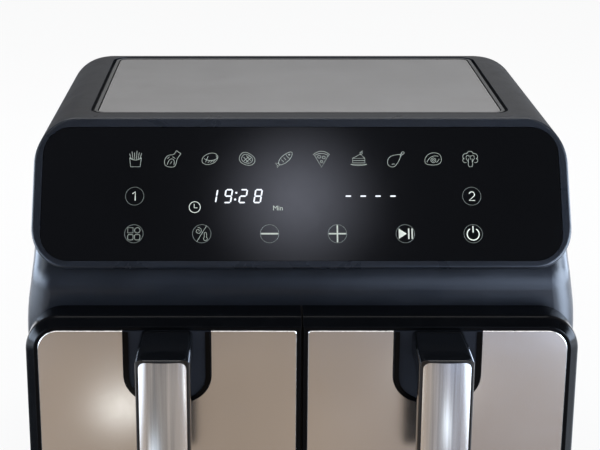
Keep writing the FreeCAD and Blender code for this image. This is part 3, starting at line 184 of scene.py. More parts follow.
# %% Moulded grain
tree, given, result = shader_group("moulded_grain", {"Vector": None, "Scale": 2500.0}, ["Height", "Cloud"])
moulded_grain = tree
place = given["Vector"]
fine = noise(tree, place, given["Scale"], 3.0)
cells = put(tree, "TexVoronoi", {"Vector": place, "Scale": given["Scale"]})
cloud = noise(tree, place, 14.0, 4.0, 0.6)
pitted = maths(tree, "MULTIPLY", fine, cells.outputs["Distance"])
tree.links.new(pitted, result["Height"])
tree.links.new(spread(tree, cloud, 0, 1, 0.3, 0.7), result["Cloud"])
print("group:", tree.name)

# %% Hairlines of rolled and brushed steel
tree, given, result = shader_group("hairlines", {"Vector": None, "Scale": 1.0}, ["Lines", "Bands"])
hairlines = tree
thin = noise(tree, given["Vector"], given["Scale"], 6.0, 0.7)
wide = noise(tree, given["Vector"], maths(tree, "MULTIPLY", given["Scale"], 0.06))
tree.links.new(spread(tree, thin, 0, 1, 0.25, 0.75), result["Lines"])
tree.links.new(spread(tree, wide, 0, 1, 0.35, 0.65), result["Bands"])
print("group:", tree.name)

# %% Marks of hands and cloths
tree, given, result = shader_group("handling_marks", {"Vector": None, "Scale": 30.0}, ["Marks"])
handling_marks = tree
swirl = noise(tree, given["Vector"], given["Scale"], 5.0, 0.55, 1.2)
tree.links.new(spread(tree, swirl, 0, 1, 0.42, 0.72), result["Marks"])
print("group:", tree.name)

# %% Dust on what faces up
def parts(tree, vector):
    """The X, Y and Z of a vector."""
    return put(tree, "SeparateXYZ", {"Vector": vector}).outputs


def upward_part(tree):
    """How far a surface faces up, from -1 to 1."""
    return parts(tree, put(tree, "NewGeometry").outputs["Normal"])["Z"]


tree, given, result = shader_group("settled_dust", {"Vector": None, "Scale": 900.0}, ["Dust"])
settled_dust = tree
upward = spread(tree, upward_part(tree), 0, 1, 0.35, 1.0)
loose = spread(tree, noise(tree, given["Vector"], given["Scale"]), 0, 1, 0.5, 0.75)
tree.links.new(maths(tree, "MULTIPLY", upward, loose), result["Dust"])
print("group:", tree.name)

# %% Edges with a painted highlight
EDGE_RADIUS = 0.6 * MM

tree, given, result = shader_group("painted_edge_highlight", {"Radius": EDGE_RADIUS}, ["Edge"])
painted_edge_highlight = tree
# A mask for rounded edges, where the finishes paint a paler colour as a highlight.
rounded = put(tree, "Bevel", {"Radius": given["Radius"]}, samples=4).outputs["Normal"]
straight = put(tree, "NewGeometry").outputs["Normal"]
agree = put(tree, "VectorMath", {0: rounded, 1: straight}, operation="DOT_PRODUCT").outputs["Value"]
tree.links.new(spread(tree, agree, 1, 0, 0.75, 0.99), result["Edge"])
print("group:", tree.name)

# %% [markdown]
# ## What every finish starts with
# A finish has a few constant values, patterns that follow the place on the piece, and one shader that takes
# its colour, its roughness and its bump.

# %% Starting and wiring a finish
finishes = {}
SHADER = "Principled BSDF"
PLASTIC_DEPTH = 0.4 * MM


def object_place(tree):
    """The place on the piece, in metres, that every pattern here follows."""
    return put(tree, "TexCoord").outputs["Object"]


def new_finish(name, **constants):
    """A new material with its constant values on the shader."""
    material = bpy.data.materials.new(name)
    material.use_nodes = True
    for socket, value in constants.items():
        label = socket.replace("_", " ").title().replace("Ior", "IOR")
        material.node_tree.nodes[SHADER].inputs[label].default_value = value
    return material


def start_finish(slot, **constants):
    """The finish of one of the record's material slots, and the place its patterns follow."""
    finishes[slot] = new_finish(slot + "_finish", **constants)
    tree = finishes[slot].node_tree
    return tree, object_place(tree)


def surface_of(tree, colour, roughness, height=None, strength=0.0, depth=PLASTIC_DEPTH):
    """Wires colour, roughness and, where there is a height, a bump to the shader."""
    shader = tree.nodes[SHADER]
    tree.links.new(colour, shader.inputs["Base Color"])
    tree.links.new(roughness, shader.inputs["Roughness"])
    if height is not None:
        bump = put(tree, "Bump", {"Height": height, "Strength": strength, "Distance": depth})
        tree.links.new(bump.outputs["Normal"], shader.inputs["Normal"])


print("finishes start with", SHADER)

# %% Effects and tones in a finish
def pattern(tree, group, place, scale):
    """Places a pattern's node group in a finish, at its own scale."""
    return put(tree, "Group", {"Vector": place, "Scale": scale}, node_tree=group).outputs


def edges(tree, radius=EDGE_RADIUS):
    """A mask for the edges of a piece, where the finishes paint a highlight."""
    return put(tree, "Group", {"Radius": radius}, node_tree=painted_edge_highlight).outputs["Edge"]


def toned(colour, factor, more=0.0):
    """A lighter or darker tone of a colour."""
    return tuple(part * factor + more for part in colour)


print("effects ready:", [group.name for group in bpy.data.node_groups])

# %% [markdown]
# ## Moulded plastics
# The casing, the bezel, the back and the small plastic parts are injection moulded. One recipe serves them
# all: a colour that drifts a little, a roughness that handling has polished in places, a grain as bump, and
# a paler colour painted on the edges as a highlight. The values tell a satin casing from a rubbery gland.

# %% Plastic recipe
DUST = (0.32, 0.31, 0.30)


def moulded_plastic(slot, colour, roughness, grain=2500.0, strength=0.1, **constants):
    """Satin or matt injection-moulded plastic."""
    tree, place = start_finish(slot, **constants)
    surface = pattern(tree, moulded_grain, place, grain)
    marks = pattern(tree, handling_marks, place, 26.0)["Marks"]
    settled = pattern(tree, settled_dust, place, 1400.0)["Dust"]
    edge_highlight = edges(tree, 0.7 * MM)
    body = mix(tree, surface["Cloud"], colour, toned(colour, 1.35, 0.001))
    # A paler colour painted on the edges: a painted highlight.
    highlighted = mix(tree, edge_highlight, body, toned(colour, 2.1, 0.006), share=0.7)
    dusted = mix(tree, settled, highlighted, DUST, share=0.15)
    handled = spread(tree, marks, roughness * 0.9, roughness * 1.12)
    surface_of(tree, dusted, handled, surface["Height"], strength)


moulded_plastic("casing", (0.0095, 0.0115, 0.0165), 0.31, specular_ior_level=0.42)
moulded_plastic("bezel", (0.0115, 0.0145, 0.0215), 0.30, strength=0.05, specular_ior_level=0.34)
moulded_plastic("rear", (0.018, 0.019, 0.021), 0.52, strength=0.2)
moulded_plastic("base", (0.016, 0.017, 0.019), 0.55, strength=0.2)
moulded_plastic("gland", (0.012, 0.012, 0.013), 0.62, grain=1600.0, strength=0.15)
moulded_plastic("drawer_cover", (0.015, 0.016, 0.018), 0.45)
moulded_plastic("fan_plastic", (0.030, 0.031, 0.033), 0.46)
moulded_plastic("switch_plastic", (0.42, 0.41, 0.38), 0.45)
moulded_plastic("plunger_plastic", (0.45, 0.05, 0.03), 0.42)
print("plastics:", sorted(finishes))

# %% [markdown]
# ## Gloss black plastic
# The drawer frames and the grips are moulded in a polished tool, so they mirror the room, with only a slight
# orange-peel ripple and the haze that wiping leaves. On the grips a thin coat over the nearly black base
# gives a harder highlight.

# %% Gloss recipe
GLOSS_BLACK = (0.0028, 0.0032, 0.0042)
GLOSS_EDGE_HIGHLIGHT = (0.060, 0.068, 0.085)
HAZE = 1.3


def gloss_plastic(slot, roughness, catch, **constants):
    """Polished black plastic with a faint ripple; catch is the share of a highlight painted on its edges."""
    tree, place = start_finish(slot, coat_roughness=0.05, **constants)
    ripple = noise(tree, place, 240.0)
    marks = pattern(tree, handling_marks, place, 45.0)["Marks"]
    edge_highlight = edges(tree)
    body = mix(tree, marks, GLOSS_BLACK, toned(GLOSS_BLACK, 1.25))
    # A bluish-grey highlight painted along the edges.
    highlighted = mix(tree, edge_highlight, body, GLOSS_EDGE_HIGHLIGHT, share=catch)
    surface_of(tree, highlighted, spread(tree, marks, roughness, roughness * HAZE), ripple, 0.03)


gloss_plastic("drawer_gloss", 0.16, 0.3, specular_ior_level=0.06)
gloss_plastic("handle_gloss", 0.13, 0.5, specular_ior_level=0.3, coat_weight=0.35)
print("gloss plastics: drawer_gloss, handle_gloss")

# %% [markdown]
# ## A two-tone plate and a shaded tray
# The plate behind each handle is a single moulding whose tool was polished in part: a polished rim round a
# satin floor. The tray round the top steel, a single moulding too, has painted shade where it drops into its
# groove: its faces that do not face up are painted near black. Each finish tells its two surfaces apart by
# where they lie or which way they face.

# %% Escutcheon and tray
RIM_STEP = 0.8 * MM
rim_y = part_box("left_handle_escutcheon")[0].y

tree, place = start_finish("escutcheon", specular_ior_level=0.08)
depth = parts(tree, place)["Y"]
rim = spread(tree, depth, 1, 0, rim_y + RIM_STEP / 4, rim_y + RIM_STEP / 2)
surface = pattern(tree, moulded_grain, place, 2500.0)
satin = mix(tree, surface["Cloud"], (0.019, 0.0225, 0.031), (0.026, 0.0295, 0.040))
rimmed = mix(tree, rim, satin, (0.0015, 0.0017, 0.0022))
surface_of(tree, rimmed, spread(tree, rim, 0.42, 0.14), surface["Height"], 0.05)

tree, place = start_finish("tray", specular_ior_level=0.3)
upward = spread(tree, upward_part(tree), 0, 1, 0.5, 0.9)
surface = pattern(tree, moulded_grain, place, 2500.0)
ledge = mix(tree, surface["Cloud"], (0.075, 0.074, 0.073), (0.095, 0.094, 0.093))
# Faces that do not face up, the walls of the groove, painted near black: painted shade.
groove_shade = mix(tree, upward, (0.003, 0.003, 0.003), ledge)
surface_of(tree, groove_shade, spread(tree, surface["Cloud"], 0.44, 0.54), surface["Height"], 0.08)
print("two-tone: escutcheon, tray")

# %% [markdown]
# ## The black control glass
# Behind the touch panel lies a black print, so almost nothing shows through when it is off. What one sees is
# the front surface: a mirror with a little grease of fingertips. Glass keeps one constant metalness and
# transmission, and only its roughness and its dark tint change from place to place.

# %% Glass recipe
def dark_glass(slot, colour, roughness):
    """Glass with a black print on its back."""
    tree, place = start_finish(slot, ior=1.5)
    marks = pattern(tree, handling_marks, place, 60.0)["Marks"]
    tint = mix(tree, noise(tree, place, 9.0), colour, toned(colour, 1.6))
    surface_of(tree, tint, spread(tree, marks, roughness, roughness + 0.012))


dark_glass("panel_glass", (0.003, 0.0032, 0.004), 0.09)
dark_glass("display", (0.010, 0.011, 0.013), 0.30)
print("glass: panel_glass, display")

# %% [markdown]
# ## Steels
# The top plate is brushed across, the drawer plates are rolled satin sheet, the inlay of each grip is
# polished along its length, and the screws, probes and shafts are turned. All are metal under different
# lines, so one recipe draws a noise out along the working direction and lets it vary colour, roughness and
# height.

# %% Steel recipe
METAL_DEPTH = 0.3 * MM
ACROSS = (0.02, 1.0, 1.0)
UPRIGHT = (1.0, 1.0, 0.02)
EVEN = (1.0, 1.0, 1.0)
BRIGHT_EDGE_HIGHLIGHT = (0.80, 0.79, 0.77)


def worked_steel(slot, colour, roughness, stretch, scale, strength=0.04, contrast=0.12):
    """Steel with hairlines, which run along the axis that stretch makes small, and a highlight painted on its
    edges.
    """
    tree, place = start_finish(slot, metallic=1.0)
    squeezed = put(tree, "Mapping", {"Vector": place, "Scale": stretch}).outputs["Vector"]
    lines = pattern(tree, hairlines, squeezed, scale)
    marks = pattern(tree, handling_marks, place, 18.0)["Marks"]
    edge_highlight = edges(tree)
    darker = toned(colour, 1 - contrast)
    sheet = mix(tree, lines["Lines"], darker, toned(colour, 1 + contrast))
    banded = mix(tree, lines["Bands"], sheet, darker, share=0.3)
    # A pale colour painted on the edges: a painted highlight.
    with_edge_highlight = mix(tree, edge_highlight, banded, BRIGHT_EDGE_HIGHLIGHT, share=0.6)
    uneven = spread(tree, lines["Lines"], roughness * 0.88, roughness * 1.12)
    smeared = maths(tree, "ADD", uneven, maths(tree, "MULTIPLY", marks, 0.03))
    surface_of(tree, with_edge_highlight, smeared, lines["Lines"], strength, METAL_DEPTH)


worked_steel("top_steel", (0.345, 0.338, 0.335), 0.42, ACROSS, 3000.0, strength=0.10, contrast=0.06)
worked_steel("drawer_steel", (0.62, 0.60, 0.58), 0.19, UPRIGHT, 1600.0, strength=0.012, contrast=0.025)
worked_steel("screw_steel", (0.42, 0.41, 0.40), 0.33, EVEN, 2200.0)
worked_steel("probe_steel", (0.48, 0.47, 0.46), 0.30, ACROSS, 2000.0)
worked_steel("shaft_steel", (0.46, 0.45, 0.44), 0.26, UPRIGHT, 2600.0)
worked_steel("heater_tube", (0.16, 0.145, 0.135), 0.48, EVEN, 420.0, strength=0.12, contrast=0.3)
worked_steel("motor_case", (0.34, 0.34, 0.345), 0.40, UPRIGHT, 900.0)
worked_steel("contacts", (0.55, 0.36, 0.16), 0.30, EVEN, 2600.0)
print("steels:", [slot for slot in finishes if "steel" in slot])

# %% [markdown]
# ## Polished inlays
# The steel inlay of a grip is a polished strip, with a near-white highlight painted along its long edges. A
# noise drawn out lengthwise shades it from dark to light blue-grey: partly the streaks of the rolls, partly a
# painted reflection.

# %% Inlay finish
tree, place = start_finish("handle_steel", metallic=1.0)
inlay_low, inlay_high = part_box("right_handle_inlay")
middle, half_width = (inlay_low.x + inlay_high.x) / 2, (inlay_high.x - inlay_low.x) / 2
across = maths(tree, "ABSOLUTE", parts(tree, place)["X"], 0.0)
from_middle = maths(tree, "DIVIDE", maths(tree, "SUBTRACT", across, middle), half_width)
near_edge = maths(tree, "POWER", maths(tree, "ABSOLUTE", from_middle, 0.0), 4.0)
squeezed = put(tree, "Mapping", {"Vector": place, "Scale": UPRIGHT}).outputs["Vector"]
lines = pattern(tree, hairlines, squeezed, 1400.0)["Lines"]
streak = spread(tree, noise(tree, squeezed, 230.0, roughness=0.6), 0, 1, 0.32, 0.68)
# Blue-grey tones along the strip: partly streaks of the rolls, partly a painted reflection.
polished = mix(tree, streak, (0.39, 0.44, 0.51), (0.74, 0.80, 0.89))
# The long edges painted near white: a painted highlight.
with_edge_highlight = mix(tree, near_edge, polished, (0.93, 0.93, 0.93))
surface_of(tree, with_edge_highlight, spread(tree, lines, 0.15, 0.2), lines, 0.02, METAL_DEPTH)
print("inlay: handle_steel, edges", round(half_width / MM, 1), "mm from its middle")

# %% [markdown]
# ## Coated sheet
# The cavity, the fan covers and the brackets are aluminised sheet, whose coating freezes in small flat
# crystals. A pattern of cells, each with its own tone, gives that spangle. Baked-on grease dulls it in
# places.

# %% Sheet recipe
BAKED_GREASE = (0.16, 0.13, 0.10)


def coated_sheet(slot, colour, roughness):
    """Aluminised sheet with a spangle and dull patches."""
    tree, place = start_finish(slot, metallic=1.0)
    crystals = put(tree, "TexVoronoi", {"Vector": place, "Scale": 420.0})
    tone = parts(tree, crystals.outputs["Color"])
    marks = pattern(tree, handling_marks, place, 16.0)["Marks"]
    spangle = mix(tree, tone["X"], toned(colour, 0.86), toned(colour, 1.08))
    greasy = mix(tree, marks, spangle, BAKED_GREASE, share=0.45)
    dulled = spread(tree, marks, roughness, roughness + 0.18)
    surface_of(tree, greasy, dulled, tone["Y"], 0.04, METAL_DEPTH)


coated_sheet("liner_sheet", (0.40, 0.40, 0.395), 0.38)
coated_sheet("grille_sheet", (0.46, 0.455, 0.45), 0.33)
coated_sheet("bracket_sheet", (0.44, 0.44, 0.44), 0.36)
coated_sheet("fan_sheet", (0.50, 0.50, 0.495), 0.30)
print("sheets: liner, grille, bracket, fan")

# %% [markdown]
# ## Non-stick coating, rubber and boards
# The baskets and crisper plates carry a sprayed dark coating with tiny mica specks. Feet and bumpers are
# rubber or silicone, dull and slightly mottled. The boards inside are green laminate with a weave under the
# varnish.

# %% Non-stick coating
MICA = (0.20, 0.20, 0.20)


def nonstick_coating(slot, colour, roughness):
    """Sprayed dark coating with fine pale specks."""
    tree, place = start_finish(slot)
    specks = put(tree, "TexVoronoi", {"Vector": place, "Scale": 1500.0}).outputs["Distance"]
    surface = pattern(tree, moulded_grain, place, 1900.0)
    marks = pattern(tree, handling_marks, place, 20.0)["Marks"]
    sparkle = spread(tree, specks, 1, 0, 0.05, 0.22)
    body = mix(tree, surface["Cloud"], colour, toned(colour, 1.4))
    speckled = mix(tree, sparkle, body, MICA, share=0.4)
    wiped = spread(tree, marks, roughness * 0.85, roughness * 1.2)
    surface_of(tree, speckled, wiped, surface["Height"], 0.12, METAL_DEPTH)


nonstick_coating("basket_coating", (0.024, 0.024, 0.025), 0.40)
nonstick_coating("crisper_coating", (0.021, 0.021, 0.022), 0.38)
print("coatings: basket_coating, crisper_coating")

# %% Rubber and silicone
RUBBER_DUST = (0.30, 0.29, 0.28)


def soft_rubber(slot, colour):
    """Dull moulded rubber or silicone."""
    tree, place = start_finish(slot)
    surface = pattern(tree, moulded_grain, place, 1300.0)
    settled = pattern(tree, settled_dust, place, 1100.0)["Dust"]
    body = mix(tree, surface["Cloud"], colour, toned(colour, 1.5, 0.002))
    dusted = mix(tree, settled, body, RUBBER_DUST, share=0.3)
    surface_of(tree, dusted, spread(tree, surface["Cloud"], 0.66, 0.8), surface["Height"], 0.25)


soft_rubber("foot_rubber", (0.020, 0.020, 0.021))
soft_rubber("crisper_silicone", (0.05, 0.05, 0.052))
print("rubbers: foot_rubber, crisper_silicone")

# %% Board laminate
WEAVE_DEPTH = 0.2 * MM
LAMINATE = {"Color1": (0.01, 0.10, 0.035), "Color2": (0.015, 0.13, 0.05), "Mortar": (0.006, 0.055, 0.02)}

tree, place = start_finish("circuit_board")
weave = put(tree, "TexWave", {"Vector": place, "Scale": 260.0, "Distortion": 0.4}).outputs["Fac"]
traces = put(tree, "TexBrick", {"Vector": place, "Scale": 160.0, **LAMINATE}).outputs["Color"]
surface_of(tree, traces, spread(tree, weave, 0.3, 0.5), weave, 0.08, WEAVE_DEPTH)
print("board: circuit_board")

# %% [markdown]
# ## Dressing the solids
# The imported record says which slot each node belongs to. The solids are right as they are, so they keep their
# meshes and only change their material.

# %% Give each node its finish
subparts = frame["record"]["subparts"]
for part in subparts:
    for holder in frame["nodes"][part["node"]].material_slots:
        holder.material = finishes[part["material_slot"]]
print("dressed", len(subparts), "nodes with", len(finishes), "finishes")

# %% [markdown]
# ## Marks behind the glass
# The touch panel shows ten programme pictures, two zone numbers, a clock and six keys, all printed as thin
# clear lines in the black print and lit from behind. They could be painted by a shader, but lines this fine
# are sharper as geometry. Each is drawn in millimetres round its own middle, with thin tubes for lines and
# flat sheets for filled shapes, turned into a mesh and then laid on the leaning glass.

# %% Where the glass lies
PANEL_LEAN = math.radians(30)
PRINT_SHIFT = 1.4 * MM
glass_low, glass_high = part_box("control_glass")
lean_sin, lean_cos = math.sin(PANEL_LEAN), math.cos(PANEL_LEAN)
span_y, span_z = glass_high.y - glass_low.y, glass_high.z - glass_low.z
glass_height = (span_z * lean_cos - span_y * lean_sin) / math.cos(2 * PANEL_LEAN)
glass_thick = (span_y * lean_cos - span_z * lean_sin) / math.cos(2 * PANEL_LEAN)
glass_foot_z = glass_low.z + glass_thick * lean_sin
panel = Matrix(((1, 0, 0, PRINT_SHIFT), (0, lean_sin, -lean_cos, glass_low.y),
                (0, lean_cos, lean_sin, glass_foot_z), (0, 0, 0, 1)))
print("glass", round(glass_height / MM, 1), "mm high,", round(glass_thick / MM, 1), "mm thick")

# %% [markdown]
# ## Light through the print
# Printed lines let a little greenish light through, the keys more, and the digits are small lamps. A light
# that is strongest in the middle of a bar comes from a value painted on the mesh itself, so it stays with the
# piece.

# %% Lit finishes
INK = (0.10, 0.11, 0.10), (0.16, 0.17, 0.16)


def lit_finish(name, dim, bright, strength):
    """A translucent mark; the mesh's glow value says how much light comes through."""
    material = new_finish(name, roughness=0.35, emission_strength=strength)
    tree = material.node_tree
    shader = tree.nodes[SHADER]
    glow = put(tree, "Attribute", attribute_name="glow").outputs["Fac"]
    ink = noise(tree, object_place(tree), 700.0)
    patchy = maths(tree, "MULTIPLY", glow, spread(tree, ink, 0.8, 1.1, 0.3, 0.7))
    tree.links.new(mix(tree, patchy, dim, bright), shader.inputs["Emission Color"])
    tree.links.new(mix(tree, ink, *INK), shader.inputs["Base Color"])
    return material


ring_line = lit_finish("ring_line", (0.10, 0.12, 0.11), (0.22, 0.26, 0.24), 0.55)
printed_line = lit_finish("printed_line", (0.22, 0.26, 0.23), (0.74, 0.84, 0.76), 0.62)
key_light = lit_finish("key_light", (0.20, 0.24, 0.21), (0.86, 0.92, 0.86), 0.95)
digit_light = lit_finish("digit_light", (0.25, 0.34, 0.75), (0.90, 0.94, 1.0), 1.15)
print("lit finishes: ring_line, printed_line, key_light, digit_light")

# %% [markdown]
# ## A pen
# Every sign is a list of strokes. A stroke is a kind of curve, whether it closes, and its points. A few short
# functions name the kinds, so that a picture reads as a list of what the pen does.

# %% Straight and soft strokes
def run(*points):
    """Straight strokes from point to point."""
    return "POLY", False, points


def loop(*points):
    """A straight-sided outline."""
    return "POLY", True, points


def wave(*points):
    """A soft open stroke."""
    return "NURBS", False, points


def blob(*points):
    """A soft closed outline."""
    return "NURBS", True, points


print("strokes: run, loop, wave, blob")

# %% Arcs, rings and bars
ARC_STEP = 12
FEWEST_STEPS = 8
RING_POINTS = 40


def arc(x, y, radius, start, stop, grow=0.0, flat=1.0):
    """Part of a circle, in degrees; grow winds it outwards and flat makes it an oval."""
    steps = max(FEWEST_STEPS, int(abs(stop - start) / ARC_STEP))
    turns = [math.radians(start + (stop - start) * i / steps) for i in range(steps + 1)]
    reach = [radius + grow * i / steps for i in range(steps + 1)]
    return run(*[(x + r * math.cos(t), y + r * flat * math.sin(t)) for r, t in zip(reach, turns)])


def ring(x, y, radius, flat=1.0, tilt=0.0):
    """A whole circle, or an oval that is turned by tilt degrees."""
    turn_sin, turn_cos = math.sin(math.radians(tilt)), math.cos(math.radians(tilt))
    angles = [math.radians(360 * i / RING_POINTS) for i in range(RING_POINTS)]
    level = [(radius * math.cos(a), radius * flat * math.sin(a)) for a in angles]
    return loop(*[(x + u * turn_cos - v * turn_sin, y + u * turn_sin + v * turn_cos) for u, v in level])


def bar(x, y, length, thick, upright=False):
    """A bar with pointed ends, as in a digit."""
    end, half = length / 2, thick / 2
    neck = end - half
    points = [(-end, 0), (-neck, half), (neck, half), (end, 0), (neck, -half), (-neck, -half)]
    return loop(*[(x - v, y + u) if upright else (x + u, y + v) for u, v in points])


print("strokes: arc, ring, bar")

# %% Strokes made a mesh
LINE_WIDTH = 0.25
FILL_THICK = 0.1


def draw(strokes, name, filled, width=LINE_WIDTH):
    """One mesh of all the strokes, as lines or as filled shapes; one unit is 1 mm here."""
    curve = bpy.data.curves.new(name, "CURVE")
    curve.dimensions = "2D" if filled else "3D"
    for kind, closed, points in strokes:
        spline = curve.splines.new(kind)
        spline.points.add(len(points) - 1)
        for knot, (x, y) in zip(spline.points, points):
            knot.co = (x, y, 0, 1)
        spline.use_cyclic_u = closed
        if kind == "NURBS":
            spline.order_u = 4
            spline.use_endpoint_u = not closed
    if filled:
        curve.fill_mode = "BOTH"
        curve.extrude = FILL_THICK / 2
    else:
        curve.bevel_depth = width / 2
        curve.bevel_resolution = 1
        curve.use_fill_caps = True
    pen = bpy.data.objects.new(name, curve)
    bpy.context.scene.collection.objects.link(pen)
    pick(pen)
    bpy.ops.object.convert(target="MESH")
    return bpy.context.object


print("lines", LINE_WIDTH, "mm wide, fills", FILL_THICK, "mm thick")

# %% Laying a mark on the glass
def lay_on_glass(piece, x, up, finish, fade=None):
    """Lays a drawn piece on the glass; its light falls to nothing fade mm from its middle."""
    glow = piece.data.attributes.new("glow", "FLOAT", "POINT")
    for spot, vertex in zip(glow.data, piece.data.vertices):
        away = max(abs(vertex.co.x), abs(vertex.co.y)) / fade if fade else 0.0
        spot.value = max(0.0, 1.0 - away * away)
    piece.matrix_world = panel @ Matrix.Translation((x * MM, up * MM, 0)) @ Matrix.Scale(MM, 4)
    bpy.ops.object.transform_apply()
    piece.data.materials.clear()
    piece.data.materials.append(finish)
    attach(piece, "chassis")


def mark(name, x, up, finish, lines=(), fills=(), width=LINE_WIDTH, fade=None):
    """A mark of lines or fills on the glass, x mm from the centre and up mm above the foot."""
    lay_on_glass(draw(lines or fills, name, bool(fills), width), x, up, finish, fade)


print("marks lie on a panel that leans", round(math.degrees(PANEL_LEAN)), "degrees")

# %% [markdown]
# ## Ten programme pictures
# Each picture is a few strokes about 13 mm across: chips in a carton, a roast bird, a fillet, a scored steak,
# a fish, a pizza slice, a slice of cake, a drumstick, a cut of meat and broccoli. They are drawn freely, as
# simple signs.

# %% Chips, roast, fillet and steak
pictures = {}
chip_feet = (-3.3, -2, -0.6, 0.8, 2.1, 3.3)
chip_ends = ((-4.7, 4.5), (-2.9, 6), (-0.9, 5.2), (1, 6.6), (2.9, 5.4), (4.8, 4.8))
pictures["chips"] = [run((-4.6, 1.2), (-3.7, -6.2), (3.7, -6.2), (4.6, 1.2)),
                     wave((-4.6, 1.2), (-2.8, -0.5), (0, -1), (2.8, -0.5), (4.6, 1.2))]
pictures["chips"] += [run((foot, -0.2), end) for foot, end in zip(chip_feet, chip_ends)]
pictures["roast"] = [
    blob((-6.8, -2.6), (-5.8, 1.2), (-3.2, 3.6), (0.6, 3.2), (2, 5), (2.8, 7.6), (4.6, 5), (7.2, 4.6),
         (4.6, 2.2), (3, -0.6), (2.6, -6), (-1, -6.8), (-5.8, -5.8)),
    wave((-4.2, -4.6), (-3.2, -0.4), (-0.2, 1), (1.8, -1.2), (1, -4.8)),
    run((-0.2, 1.8), (2.2, 0.4)), run((-4.2, 0.2), (-2.6, 1.8)), run((-1.8, -3.8), (-0.6, -1.8))]
pictures["fillet"] = [
    ring(0, 0.2, 6.5, 0.66, 22), arc(0.4, 1.4, 5.2, 200, 395, 0, 0.5), run((-3.4, -2.6), (-1.4, 2.4)),
    run((-1.6, -3.2), (-0.2, -1.4)), run((0.6, -2.9), (1.8, -1.2)), run((2.6, -2.3), (3.8, -0.6))]
pictures["steak"] = [
    blob((-6.8, 1.2), (-3.4, 6.4), (2.4, 4.6), (7.2, 0.2), (5, -5), (-0.4, -5.4), (-5.6, -2.6)),
    blob((-4.8, 1.2), (-2.4, 4.4), (1.8, 3.2), (5, 0.2), (3.4, -3.4), (-0.4, -3.6), (-4, -1.6)),
    run((-2.6, -1.6), (2, 2.4)), run((-1, -2.6), (3.2, 1)), run((-2.8, 1.6), (1, -2.6)),
    run((-0.6, 2.8), (3, -1.4))]
print("drawn:", ", ".join(pictures))

# %% Fish, pizza and cake
pictures["fish"] = [
    blob((-5, -3.6), (-3.4, 0.8), (1.2, 4.6), (5.6, 6.2),
         (6.6, 5), (5.6, 0.8), (1, -3.6), (-3.8, -5.2)),
    run((-4, -3.6), (-7.2, -3.2), (-5.4, -5), (-5.6, -7), (-3.4, -4.4)), ring(3.9, 3.5, 0.5),
    wave((1.4, 3.8), (2.2, 1.4), (4.6, 0.4)), run((-2.2, -0.6), (-0.4, -2.4)), run((-0.4, 1.2), (1.4, -0.8))]
pictures["pizza"] = [
    wave((-6.6, 3.4), (-3.6, 6), (0, 6.6), (3.6, 6), (6.6, 3.4)), run((-5.4, 3), (0, -6.6), (5.4, 3)),
    wave((-5.4, 3), (-2.4, 4.4), (0, 4.8), (2.4, 4.4), (5.4, 3)),
    ring(-1.8, 1.9, 1.2), ring(1.8, 1.3, 1.1), ring(0, -2, 0.9)]
pictures["cake"] = [
    loop((-4.8, -3), (4.8, -3), (4.8, 0.6), (-4.8, 0.6)), run((-4.8, 0.6), (1.4, 4), (4.8, 0.6)),
    run((-4.8, -1.2), (4.8, -1.2)), ring(2, 4.8, 0.9), wave((2.2, 5.6), (2.6, 6.4), (3.4, 6.6)),
    wave((-6.4, -4.2), (-3.4, -5.6), (3.4, -5.6), (6.4, -4.2)), run((-6.2, -4.2), (6.2, -4.2))]
print("drawn:", ", ".join(pictures))

# %% Drumstick, meat and broccoli
pictures["drumstick"] = [
    blob((-7, -2.4), (-5.4, 2), (-0.8, 3.4), (4.2, 4),
         (3.8, 1.8), (1.6, -3), (-1.6, -7.2), (-6.2, -5.6)),
    run((2.8, 3.2), (4.6, 4.6)), run((3.4, 2.2), (5.2, 3.8)), ring(5.6, 4.9, 1),
    wave((-3.4, -4.4), (-2, -3.6), (-0.8, -4.2))]
pictures["meat_cut"] = [
    blob((-7.2, -3), (-5.6, 3), (0, 5.8), (6.4, 4.2), (7, -2.4), (3.4, -5), (-4.2, -4.8)),
    wave((-4.8, -2.6), (-3.4, 1.4), (0.4, 3.4), (4.2, 2.2)), ring(0.2, -1, 1.9), ring(0.2, -1, 0.8),
    wave((2.6, -2.8), (4, -1.4), (4.8, 0.2))]
pictures["broccoli"] = [
    arc(0, 3.6, 2.7, 20, 160), arc(-3.3, 2, 2.5, 65, 235), arc(3.3, 2, 2.5, -55, 115),
    arc(-4, -1, 1.9, 110, 300), arc(4, -1, 1.9, -120, 70),
    run((-1.4, 0.4), (-1.7, -4.6), (-1.1, -6.2), (1.1, -6.2), (1.7, -4.6), (1.4, 0.4)),
    run((-1.6, -2), (-3.4, 0.6)), run((1.6, -2), (3.4, 0.6)), run((0, -0.4), (0, 3)),
    arc(-1.9, 1.6, 1.3, 20, 200), arc(1.9, 1.6, 1.3, -20, 160)]
print("drawn:", ", ".join(pictures))

# %% Lay the pictures on the glass
KEY_SPAN = 118.4
UPPER_ROW = 72.7
PICTURE_SCALE = 0.9


def row_place(i, count):
    """How far from the middle mark i of an evenly spaced row lies."""
    return KEY_SPAN * (2 * i / (count - 1) - 1)


for i, (name, strokes) in enumerate(pictures.items()):
    smaller = [(kind, closed, [(u * PICTURE_SCALE, v * PICTURE_SCALE) for u, v in points])
               for kind, closed, points in strokes]
    mark("picture_" + name, row_place(i, len(pictures)), UPPER_ROW, printed_line, smaller)
print("pictures:", ", ".join(pictures))

# %% [markdown]
# ## Zone numbers and keys
# The middle row has the numbers of the two drawers in rings, and the lower row the touch keys: the programme
# menu, time or heat, less, more, start and pause, and on and off. Most of their signs are brighter than the
# pictures.

# %% Zone numbers
KEY_RING = 6.45
MIDDLE_ROW = 45.9
ZONE_LINE = 0.58

